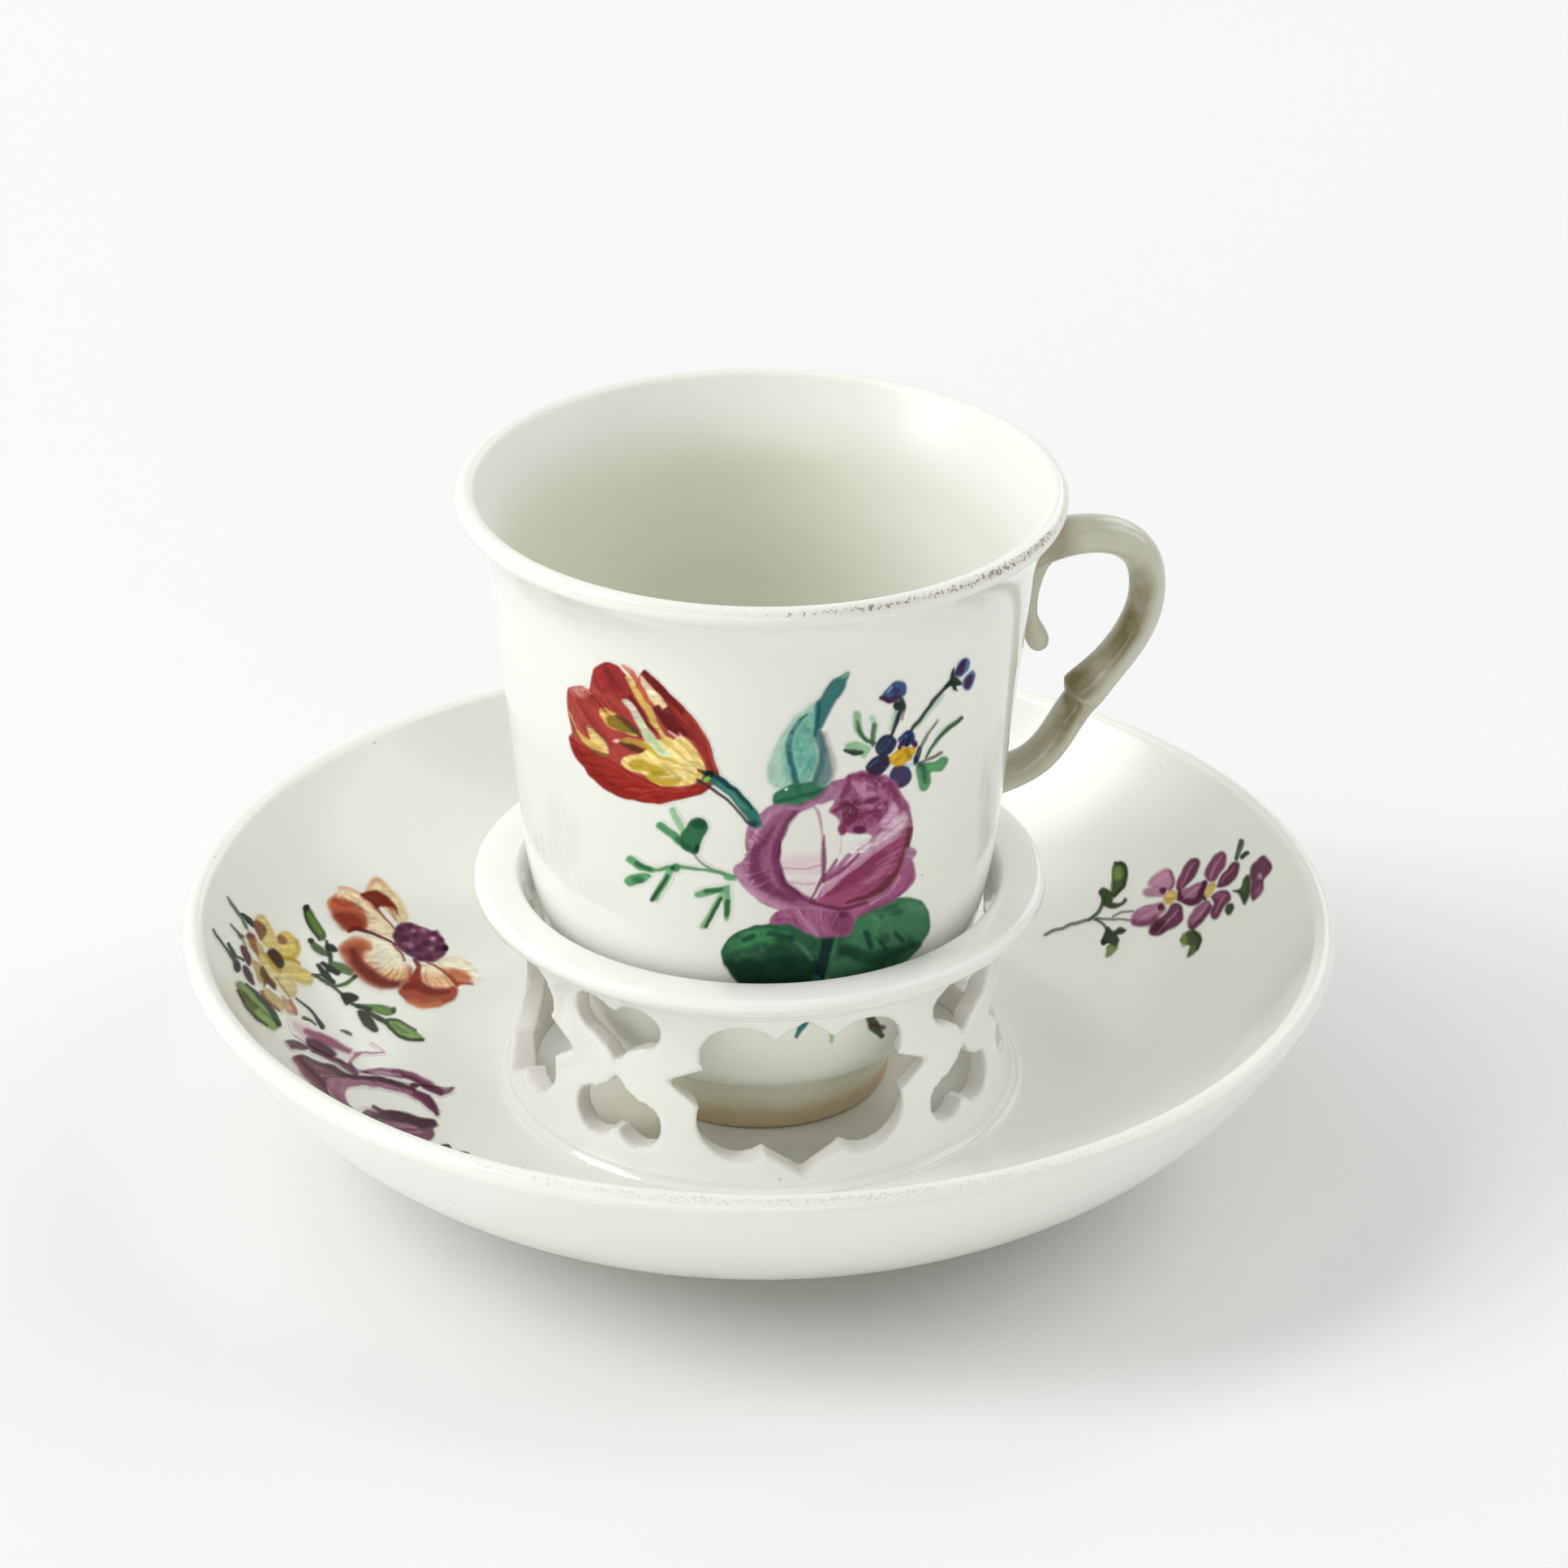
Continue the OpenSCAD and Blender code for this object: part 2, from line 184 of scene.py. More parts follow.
def glaze(name, worn=None, stain_and_shade_tint=None, painted=False, painted_shade_inside=False, light="#F4F5EF", deep="#EEEFE6", dull=0.07,
          cloud=28, patch=(130, 0.55)):
    """Porcelain glaze with fine clouds, rare iron specks and a soft ripple; marks on the points say where it is
    worn off, browned (on the handle partly painted shade), tinted olive as painted shade in the cup, or painted over."""
    finish = Finish(name)
    colour = finish.mix(finish.noise(cloud, 3), tint(deep), tint(light))
    pits = finish.add("TexVoronoi", {"feature": "F1"}, Vector=finish.place, Scale=330.0)
    rare = finish.math("GREATER_THAN", finish.add("SeparateColor", Color=pits.outputs["Color"]).outputs[0], 0.965)
    speck = finish.math("MULTIPLY", finish.ramp(pits.outputs["Distance"], 0.03, 0.075, 1.0, 0.0), rare)
    colour = finish.mix(finish.math("MULTIPLY", speck, 0.55), colour, tint("#6E6048"))
    rough = finish.ramp(finish.noise(90, 2), 0.3, 0.7, dull, dull + 0.05)
    # Olive painted shade on the inside of the cup, which is also made rougher there.
    if painted_shade_inside:
        colour = finish.mix(finish.noted("painted_shade_inside"), colour, tint("#E7E9DA"))
        rough = finish.math("ADD", rough, finish.math("MULTIPLY", finish.noted("inside"), 0.22))
    # Brown tint where the points are marked: a real stain on the gallery's cut edges, and on the handle partly stain
    # and partly painted shade.
    if stain_and_shade_tint:
        uneven = finish.ramp(finish.noise(patch[0], 3), 0.25, 0.7, patch[1], 1.0)
        colour = finish.mix(finish.math("MULTIPLY", finish.noted("stain_and_shade"), uneven), colour, tint(stain_and_shade_tint))
    if worn:
        grain, dark, pale, strength = worn
        bare = finish.noted("worn")
        colour = finish.mix(finish.math("MULTIPLY", bare, 0.3 * strength), colour, tint(pale))
        broken = finish.math("ADD", finish.noise(grain, 3, 0.6), finish.math("MULTIPLY", bare, 0.22))
        spots = finish.math("MULTIPLY", finish.ramp(broken, 0.66, 0.76), finish.ramp(bare, 0.04, 0.3, 0.0, strength))
        colour = finish.mix(spots, colour, finish.mix(finish.noise(1100, 2), tint(dark), tint(pale)))
        rough = finish.math("ADD", rough, finish.math("MULTIPLY", spots, 0.4))
    if painted:
        colour = finish.mix(finish.noted("enamel", "Alpha"), colour, finish.noted("enamel", "Color"))
    finish.put(finish.surface.inputs["Base Color"], colour)
    finish.put(finish.surface.inputs["Roughness"], rough)
    finish.surface.inputs["IOR"].default_value = 1.5
    shine = finish.ramp(finish.noted("enamel", "Alpha"), 0.0, 0.6, 0.5, 0.03) if painted else 0.5
    finish.put(finish.surface.inputs["Specular IOR Level"], shine)
    ripple = finish.add("Bump", Height=finish.noise(55, 2), Strength=0.10, Distance=0.0012)
    finish.put(finish.surface.inputs["Normal"], ripple.outputs["Normal"])
    return finish


FLOOR_Z, UNDER_Z = 7.0, 3.8
LIP = (71.05, 29.25, 1.45)
OVERLAP = 0.02
dish_lip = round_line(*LIP, -26, 150, 32)
dish_outer = bow_line((40, UNDER_Z), (54.1, 4.95), (67.1, 17.6), dish_lip[0], 60)
dish_inner = bow_line(dish_lip[-1], (64.0, 19.95), (52.8, 7.5), (36, FLOOR_Z), 66)
gallery_foot = bow_line((33.6, FLOOR_Z), (31.91, 7.52), (31.31, 10.12), (31.0, 15.84), 40)
fillet = gallery_foot[gallery_foot[:, 1] < 8.6] + (OVERLAP, 0)
dish_line = np.concatenate([[(0, UNDER_Z), (20, UNDER_Z)], dish_outer[:-1], dish_lip[:-1], dish_inner,
                            [(34.6, FLOOR_Z)], fillet, [(31.4, 8.5), (31.2, FLOOR_Z), (15, FLOOR_Z), (0, FLOOR_Z)]])
dish = turn_on_wheel("saucer_dish_porcelain", dish_line, 256)
co = points_of(dish) / MM
round_at = np.degrees(np.arctan2(co[:, 1], co[:, 0]))
note_on_points(dish, "worn", lip_crest(co, LIP, 58, 28.5) * (0.1 + 0.8 * bell(round_at, -96, 36)))
glaze("glazed_porcelain_dish", worn=(2600, "#8F846C", "#C2B9A4", 0.34), dull=0.17).wear(dish)
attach(dish, "saucer")
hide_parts("saucer_dish")


# Saucer foot ring: a low ring turned from the same clay under the dish.
# Its sides are glazed thinly and its standing edge is wiped bare, so it shows dry buff clay.
def bare_clay(name, low, high):
    finish = Finish(name)
    height = finish.add("SeparateXYZ", Vector=finish.place).outputs["Z"]
    patch = finish.math("ADD", height, finish.math("MULTIPLY", finish.noise(160, 3), 0.0016))
    glazed = finish.ramp(patch, low, high)
    clay = finish.mix(finish.noise(420, 4), tint("#C2AB86"), tint("#DCCCAC"))
    skin = finish.mix(finish.noise(120, 3), tint("#D8D5B6"), tint("#EEEEE0"))
    finish.put(finish.surface.inputs["Base Color"], finish.mix(glazed, clay, skin))
    rough = finish.math("SUBTRACT", 0.75, finish.math("MULTIPLY", glazed, 0.6))
    finish.put(finish.surface.inputs["Roughness"], rough)
    grit = finish.add("Bump", Height=finish.noise(900, 3), Strength=0.25, Distance=0.0003)
    finish.put(finish.surface.inputs["Normal"], grit.outputs["Normal"])
    return finish


ring_line = even_line([(35, 3.9), (35, 0.7), (35.2, 0.2), (35.7, 0.0), (38.3, 0.0), (38.8, 0.2), (39.0, 0.7),
                       (39.15, 2.2), (39.5, 3.9), (35, 3.9)], 0.2)
saucer_foot = turn_on_wheel("saucer_foot_ring_clay", ring_line, 192)
bare_clay("foot_clay_saucer", 0.0014, 0.0028).wear(saucer_foot)
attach(saucer_foot, "saucer")
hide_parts("saucer_foot_ring")


# Gallery wall: the upright collar that holds the cup, cut through while the clay was leather hard with four
# barbed windows and four pairs of hearts. The glaze has softened the cut edges and stained them faintly brown.
WINDOW = {"width": 32.4, "height": 22.0, "z": 20.1}
HEART = {"width": 12.5, "height": 9.0, "gap": 1.8, "z": 21.0}


def outside_shape(x, z, circles, corners):
    """Distance of points from a flat cut-out made of circles and one polygon; below 0 inside it."""
    away = np.min([np.hypot(x - cx, z - cz) - r for cx, cz, r in circles], axis=0)
    inside = np.zeros(len(x), bool)
    near = np.full(len(x), 1e9)
    for (ax, az), (bx, bz) in zip(corners, corners[1:] + corners[:1]):
        t = np.clip(((x - ax) * (bx - ax) + (z - az) * (bz - az)) / ((bx - ax) ** 2 + (bz - az) ** 2), 0, 1)
        near = np.minimum(near, np.hypot(x - ax - t * (bx - ax), z - az - t * (bz - az)))
        crosses = (az > z) != (bz > z)
        inside ^= crosses & (x < (bx - ax) * (z - az) / np.where(bz == az, 1, bz - az) + ax)
    return np.minimum(away, np.where(inside, -near, near))


def distance_to_cuts(co):
    """How far each place of the wall, in millimetres, lies from the nearest pierced edge."""
    half, high, r = WINDOW["width"] / 2, WINDOW["height"], HEART["width"] * 0.244
    lobes = [(s * a * half, b * high, c * high) for s in (-1, 1)
             for a, b, c in ((0.481, 0.245, 0.209), (0.488, -0.173, 0.223))]
    side = [(0, 0.5), (0.19, 0.38), (0.68, 0.173), (1, 0.05), (0.765, -0.091), (0.25, -0.373), (0, -0.5)]
    barbs = [(a * half, b * high) for a, b in side] + [(-a * half, b * high) for a, b in side[-2:0:-1]]
    w, h = HEART["width"] / 2, HEART["height"]
    ears = [(s * (w - r), h - r, r) for s in (-1, 1)]
    heart = [(a * w, b * h) for a, b in ((0, 0), (0.22, 0.2), (0.8, 0.42), (0, 0.86), (-0.8, 0.42), (-0.22, 0.2))]
    least = np.full(len(co), 1e9)
    for quarter in range(4):
        for turn, kind in ((90 * quarter, "window"), (90 * quarter + 45, "heart")):
            a = math.radians(turn)
            across = co[:, 0] * math.cos(a) + co[:, 1] * math.sin(a)
            facing = co[:, 0] * math.sin(a) - co[:, 1] * math.cos(a) > 10
            if kind == "window":
                found = outside_shape(across, co[:, 2] - WINDOW["z"], lobes, barbs)
            else:
                lift = np.abs(co[:, 2] - HEART["z"]) - HEART["gap"] / 2
                found = outside_shape(across, lift, ears, heart)
            least = np.where(facing, np.minimum(least, found), least)
    return least


def even_skin(piece, grain, rounds):
    """Gives a piece one skin of small even faces, and softens its edges as the glaze does."""
    bpy.ops.object.select_all(action="DESELECT")
    piece.select_set(True)
    bpy.context.view_layer.objects.active = piece
    skin = piece.modifiers.new("even skin", "REMESH")
    skin.mode = "VOXEL"
    skin.voxel_size = grain * MM
    bpy.ops.object.modifier_apply(modifier="even skin")
    soften = piece.modifiers.new("softened by glaze", "SMOOTH")
    soften.factor = 0.5
    soften.iterations = rounds
    bpy.ops.object.modifier_apply(modifier="softened by glaze")
    bpy.ops.object.shade_smooth()


wall_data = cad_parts["gallery_wall"].data.copy()
wall = bpy.data.objects.new("gallery_wall_porcelain", wall_data)
bpy.context.scene.collection.objects.link(wall)
bpy.ops.object.select_all(action="DESELECT")
wall.select_set(True)
bpy.context.view_layer.objects.active = wall
bpy.ops.object.mode_set(mode="EDIT")
bpy.ops.mesh.select_all(action="SELECT")
bpy.ops.mesh.remove_doubles(threshold=1e-6)
bpy.ops.object.mode_set(mode="OBJECT")
even_skin(wall, 0.36, 5)
wall_out = np.concatenate([gallery_foot, bow_line((31, 25.0), (31, 28.52), (31.84, 31.4), (33.4, 33.0), 30)])
wall_in = np.concatenate([[(28.4, 7.0)], bow_line((28.4, 28.04), (28.4, 29.96), (28.76, 31.48), (29.3, 33.0), 30)])
co = points_of(wall) / MM
away = distance_to_cuts(co)
r = np.hypot(co[:, 0], co[:, 1])
r_out = np.interp(co[:, 2], wall_out[:, 1], wall_out[:, 0])
r_in = np.interp(co[:, 2], wall_in[:, 1], wall_in[:, 0])
ROUND = 0.75
drop = ROUND - np.sqrt(np.maximum(ROUND ** 2 - np.clip(ROUND - away, 0, ROUND) ** 2, 0))
true_r = np.where(r > (r_out + r_in) / 2, r_out - drop, r_in + drop)
trust = soft_step(away, 0.12, 0.45) * soft_step(co[:, 2], 7.5, 8.3)
new_r = r + (true_r - r) * trust
co[:, :2] *= (new_r / r)[:, None]
wall.data.vertices.foreach_set("co", (co * MM).astype(np.float32).ravel())
note_on_points(wall, "stain_and_shade", 0.3 * bell(away, 0.1, 0.22))
wall.data.update()
# The collar's glaze is set paler than the dish's, though it is the same porcelain: painted light.
glaze("glazed_porcelain_gallery", stain_and_shade_tint="#A08A66", light="#FAFAF6", deep="#F5F5EF").wear(wall)
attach(wall, "saucer")
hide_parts("gallery_wall")


# Gallery rim: the out-turned ledge on top of the collar, thrown in one with it and softly rounded.
# It is drawn down over the wall's top edge, so no joint shows between the two.
SKIRT_Z = 31.6
skirt_out = wall_out[wall_out[:, 1] > SKIRT_Z] + (OVERLAP, 0)
skirt_in = wall_in[wall_in[:, 1] > SKIRT_Z] - (OVERLAP, 0)
rim_line = np.concatenate([
    skirt_in, bow_line((29.3, 33.0), (29.75, 34.1), (29.95, 36.0), (31.1, 36.1), 14)[1:],
    bow_line((31.1, 36.1), (32.3, 36.26), (33.6, 36.26), (34.75, 36.1), 12)[1:],
    round_line(34.75, 34.85, 1.25, 90, -52, 16)[1:],
    bow_line((35.52, 33.865), (34.9, 33.45), (34.2, 33.55), (33.42, 33.0), 10)[1:], skirt_out[::-1], skirt_in[:1]])
rim = turn_on_wheel("gallery_rim_porcelain", rim_line, 240)
# Set paler than the dish's glaze too, as painted light.
glaze("glazed_porcelain_rim", light="#FAFAF6", deep="#F5F5EF").wear(rim)
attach(rim, "saucer")
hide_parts("gallery_rim")


# Painted sprays on the saucer: flowers in thin enamel brushed over the glaze and fired on, as in old scattered
# flower painting. Each spray is a film a few hundredths of a millimetre thick that lies on the dish.
def dots(text):
    return np.array([tuple(map(float, pair.split(","))) for pair in text.split()])


def hand_curve(points, closed):
    """A smooth line through the given dots, and how far along them each place of it lies."""
    p = np.vstack([points[-1:], points, points[:2]]) if closed else np.vstack(
        [2 * points[:1] - points[1:2], points, 2 * points[-1:] - points[-2:-1]])
    line, along = [], []
    for i, (a, b, c, d) in enumerate(zip(p, p[1:], p[2:], p[3:])):
        t = np.linspace(0, 1, max(2, int(np.hypot(*(c - b)) / 2.5)), endpoint=False)[:, None]
        square, cube = (2 * a - 5 * b + 4 * c - d) * t ** 2, (3 * b - a - 3 * c + d) * t ** 3
        line.append(0.5 * (2 * b + (c - a) * t + square + cube))
        along.append(i + t[:, 0])
    if not closed:
        line.append(points[-1:])
        along.append([len(points) - 1.0])
    return np.vstack(line), np.concatenate(along)


def grain_of(x, y):
    """Soft random values from 0 to 1 that are the same on every run."""
    i, j = np.floor(x), np.floor(y)
    fx, fy = x - i, y - j
    fx, fy = fx * fx * (3 - 2 * fx), fy * fy * (3 - 2 * fy)

    def at(a, b):
        v = np.sin(a * 127.1 + b * 311.7) * 43758.5453
        return v - np.floor(v)

    low = at(i, j) * (1 - fx) + at(i + 1, j) * fx
    high = at(i, j + 1) * (1 - fx) + at(i + 1, j + 1) * fx
    return low * (1 - fy) + high * fy


class Spray:
    """Brush strokes laid one over another; places and widths are picture dots as seen from the camera."""

    CELL, ROW = 12, 1000
    PETAL_HAIR, BRUSH_HAIR = 3.2, 2.4

    def __init__(self, seen, facing):
        x, y = seen.T / 10.5
        shaky = np.column_stack([grain_of(x, y), grain_of(x + 40.5, y + 9.5)]) - 0.5
        self.seen, self.facing = seen + 2.2 * shaky, facing
        self.ink = np.zeros((len(seen), 3))
        self.cover = np.zeros(len(seen))
        cell = np.floor(self.seen / self.CELL).astype(int)
        key = cell[:, 1] * self.ROW + cell[:, 0]
        self.order = np.argsort(key, kind="stable")
        self.keys = key[self.order]

    def near(self, line, reach):
        """The dots in all cells of the picture that a line comes near."""
        low, high = line.min(0) - reach, line.max(0) + reach
        (c0, r0), (c1, r1) = (np.floor(corner / self.CELL).astype(int) for corner in (low, high))
        rows = np.arange(r0, r1 + 1) * self.ROW
        starts, ends = np.searchsorted(self.keys, rows + c0), np.searchsorted(self.keys, rows + c1 + 1)
        return np.concatenate([self.order[a:b] for a, b in zip(starts, ends)])

    def lay(self, at, strength, code, tone=None):
        shade = np.array([int(code[i:i + 2], 16) / 255 for i in (1, 3, 5)])
        shade = np.clip(shade * (np.ones(len(at)) if tone is None else tone)[:, None], 0, 1)
        a = np.clip(strength, 0, 1) * self.facing[at]
        self.ink[at] = self.ink[at] * (1 - a[:, None]) + shade * a[:, None]
        self.cover[at] = self.cover[at] * (1 - a) + a

    def hair_marks(self, at, lie, size):
        x, y = self.seen[at].T
        c, s = math.cos(math.radians(lie)), math.sin(math.radians(lie))
        along, across = (x * c + y * s) / size, (y * c - x * s) / size
        fine, finer = grain_of(along / 9, across), grain_of(along / 6 + 7, across * 2.1)
        return 0.45 * fine + 0.3 * finer + 0.25 * grain_of(x / 5.3, y / 5.3)

    def depth(self, at, line, closed):
        """Distance of dots from the line and the nearest segment; inside a closed line it is below 0."""
        p = self.seen[at]
        a, b = (line, np.roll(line, -1, 0)) if closed else (line[:-1], line[1:])
        best, which, inside = np.full(len(at), 1e9), np.zeros(len(at), int), np.zeros(len(at), bool)
        for k, (s, e) in enumerate(zip(a, b)):
            d = e - s
            t = np.clip(((p - s) @ d) / max(d @ d, 1e-9), 0, 1)
            gap = np.hypot(*(p - s - t[:, None] * d).T)
            nearer = gap < best
            best = np.where(nearer, gap, best)
            which[nearer] = k
            if closed and s[1] != e[1]:
                inside ^= ((s[1] > p[:, 1]) != (e[1] > p[:, 1])) & (
                    p[:, 0] < d[0] * (p[:, 1] - s[1]) / d[1] + s[0])
        return np.where(inside, -best, best), which

    def within(self, text, soft):
        """The dots in and around a closed outline, and how far outside it each of them lies."""
        line, _ = hand_curve(dots(text), True)
        at = self.near(line, soft)
        return at, self.depth(at, line, True)[0]

    def petal(self, code, text, strength=0.93, soft=2.0, lie=0, streak=0.22):
        at, deep = self.within(text, soft)
        marks = self.hair_marks(at, lie, self.PETAL_HAIR)
        tone = 1.15 - 0.32 * marks - 0.04 * bell(deep, -2, 1.8)
        self.lay(at, strength * soft_step(-deep, -soft, soft) * (1 - streak * marks), code, tone)

    def blot(self, code, text, strength=0.7, size=8.0, share=0.4):
        """Uneven patches of colour inside an outline, as where wet enamel has run together."""
        soft = 3.0
        at, deep = self.within(text, soft)
        x, y = self.seen[at].T / size
        cloud = 0.65 * grain_of(x, y) + 0.35 * grain_of(2.3 * x + 5, 2.3 * y + 3)
        self.lay(at, strength * soft_step(-deep, -soft, soft) * soft_step(cloud, 0.76 - share, 1.2 - share), code)

    def hairs(self, code, text, to, count, reach, width=2.0, strength=0.5):
        """Fine single brush hairs that start on a line and run towards one place."""
        line, _ = hand_curve(dots(text), False)
        for i in range(count):
            luck = [float(grain_of(np.array(13.7 * i + line[0, 0]), np.array(5.0 * k + line[0, 1])))
                    for k in range(5)]
            start = line[min(len(line) - 1, int((i + luck[0]) / count * len(line)))]
            way = (np.array(to) - start) / max(np.hypot(*(np.array(to) - start)), 1)
            end = start + way * reach * (0.3 + 1.1 * luck[1])
            mid = (start + end) / 2 + (luck[4] - 0.5) * 6 * way[::-1] * (1, -1)
            widths = (width * (0.5 + luck[2]), width * 0.8, width * 0.2)
            self.brush(code, "%f,%f %f,%f %f,%f" % (*start, *mid, *end), widths, strength * (0.2 + 0.9 * luck[3]),
                       1.8, 0.1)

    def brush(self, code, text, widths, strength=0.85, soft=1.6, streak=0.2):
        points = dots(text)
        line, along = hand_curve(points, False)
        widths = np.atleast_1d(np.array(widths, float))
        spread = np.interp(along, np.linspace(0, len(points) - 1, len(widths)), widths) / 2
        at = self.near(line, spread.max() + soft)
        gap, which = self.depth(at, line, False)
        lie = math.degrees(math.atan2(*(points[-1] - points[0])[::-1]))
        marks = self.hair_marks(at, lie, self.BRUSH_HAIR)
        strength = strength * soft_step(spread[which] - gap, -soft, soft) * (1 - streak * marks)
        self.lay(at, strength, code, 1.12 - 0.24 * marks)

    def dab(self, code, x, y, rx, ry=None, strength=0.85, soft=1.6, turn=0):
        ry = ry or rx
        at = self.near(np.array([[x, y]]), max(rx, ry) + 2 * soft)
        dx, dy = (self.seen[at] - (x, y)).T
        c, s = math.cos(math.radians(turn)), math.sin(math.radians(turn))
        far = np.hypot((dx * c + dy * s) / rx, (dy * c - dx * s) / ry)
        self.lay(at, strength * soft_step((1 - far) * min(rx, ry), -soft, soft), code)

    def wipe(self, text, strength=1.0, soft=2.5):
        at, deep = self.within(text, soft)
        left = 1 - strength * soft_step(-deep, -soft, soft)
        self.cover[at] *= left
        self.ink[at] *= left[:, None]


def picture_dots(co):
    """Where points of the scene fall in the camera's picture."""
    eye = np.array(camera.matrix_world.inverted())
    p = co @ eye[:3, :3].T + eye[:3, 3]
    return np.column_stack([PICTURE / 2 - LENS_DOTS * p[:, 0] / p[:, 2], PICTURE / 2 + LENS_DOTS * p[:, 1] / p[:, 2]])


def turned_film(line, side, lift):
    """Places on a turned surface, given round (radians) and along its line (mm), a little proud of the glaze."""
    run = np.concatenate([[0], np.cumsum(np.hypot(*np.diff(line, axis=0).T))])
    slope = np.gradient(line, axis=0)
    slope /= np.hypot(*slope.T)[:, None]

    def place(turn, at):
        out_r, out_z = side * np.interp(at, run, slope[:, 1]), -side * np.interp(at, run, slope[:, 0])
        r = np.interp(at, run, line[:, 0]) + out_r * lift
        z = np.interp(at, run, line[:, 1]) + out_z * lift
        co = np.column_stack([r * np.cos(turn), r * np.sin(turn), z]) * MM
        return co, np.column_stack([out_r * np.cos(turn), out_r * np.sin(turn), out_z])

    return place, run[-1]


def enamel_film(name, line, side, lift, box, paint, body, shift=(0, 0), rich=1.1):
    """A painted film over the part of a turned surface that the camera sees in the box; it keeps only the faces
    that hold ink. A rich film has fuller, deeper ink."""
    gap, bare = 0.12, 0.012
    place, length = turned_film(line, side, lift)
    turn, at = (g.ravel() for g in np.meshgrid(np.radians(np.arange(-180, 180, 0.5)), np.linspace(0, length, 240)))
    co, out = place(turn, at)
    seen = picture_dots(co) - shift
    keep = np.sum(out * (np.array(camera.location) - co), axis=1) > 0
    keep &= np.all((seen > box[:2]) & (seen < box[2:]), axis=1)
    turns, runs = (turn[keep].min() - 0.01, turn[keep].max() + 0.01), (at[keep].min(), at[keep].max())
    reach = np.hypot(co[keep, 0], co[keep, 1]).max() / MM
    bpy.ops.object.select_all(action="DESELECT")
    bpy.ops.mesh.primitive_grid_add(x_subdivisions=int((turns[1] - turns[0]) * reach / gap),
                                    y_subdivisions=int((runs[1] - runs[0]) / gap), size=1)
    film = bpy.context.object
    film.name = name
    across, down, _ = (points_of(film) + 0.5).T
    co, out = place(turns[0] + across * (turns[1] - turns[0]), runs[0] + down * (runs[1] - runs[0]))
    film.data.vertices.foreach_set("co", co.astype(np.float32).ravel())
    sight = np.array(camera.location) - co
    sight /= np.linalg.norm(sight, axis=1)[:, None]
    spray = Spray(picture_dots(co) - shift, soft_step(np.sum(out * sight, axis=1), 0.01, 0.05))
    paint(spray)
    shade = spray.ink / np.maximum(spray.cover, 1e-4)[:, None]
    grey = shade.mean(1)[:, None]
    shade = np.clip(grey + rich * (shade - grey), 0, 1) * (1.98 - rich + 0.18 * grey)
    cover = 1 - (1 - np.clip(spray.cover, 0, 1)) ** (2.9 - 1.9 * shade.mean(1))
    shade = np.where(shade <= 0.04045, shade / 12.92, ((shade + 0.055) / 1.055) ** 2.4)
    enamel = film.data.attributes.new("enamel", "FLOAT_COLOR", "POINT")
    enamel.data.foreach_set("color", np.column_stack([shade, cover]).astype(np.float32).ravel())
    corners = np.empty(len(film.data.loops), np.int32)
    film.data.loops.foreach_get("vertex_index", corners)
    film.data.polygons.foreach_set("select", cover[corners].reshape(-1, 4).max(1) < bare)
    bpy.context.tool_settings.mesh_select_mode = (False, False, True)
    bpy.ops.object.mode_set(mode="EDIT")
    bpy.ops.mesh.delete(type="FACE")
    bpy.ops.mesh.select_all(action="SELECT")
    if side < 0:
        bpy.ops.mesh.flip_normals()
    bpy.ops.object.mode_set(mode="OBJECT")
    bpy.context.tool_settings.mesh_select_mode = (True, False, False)
    bpy.ops.object.shade_smooth()
    glaze("enamel_" + name, painted=True).wear(film)
    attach(film, body)


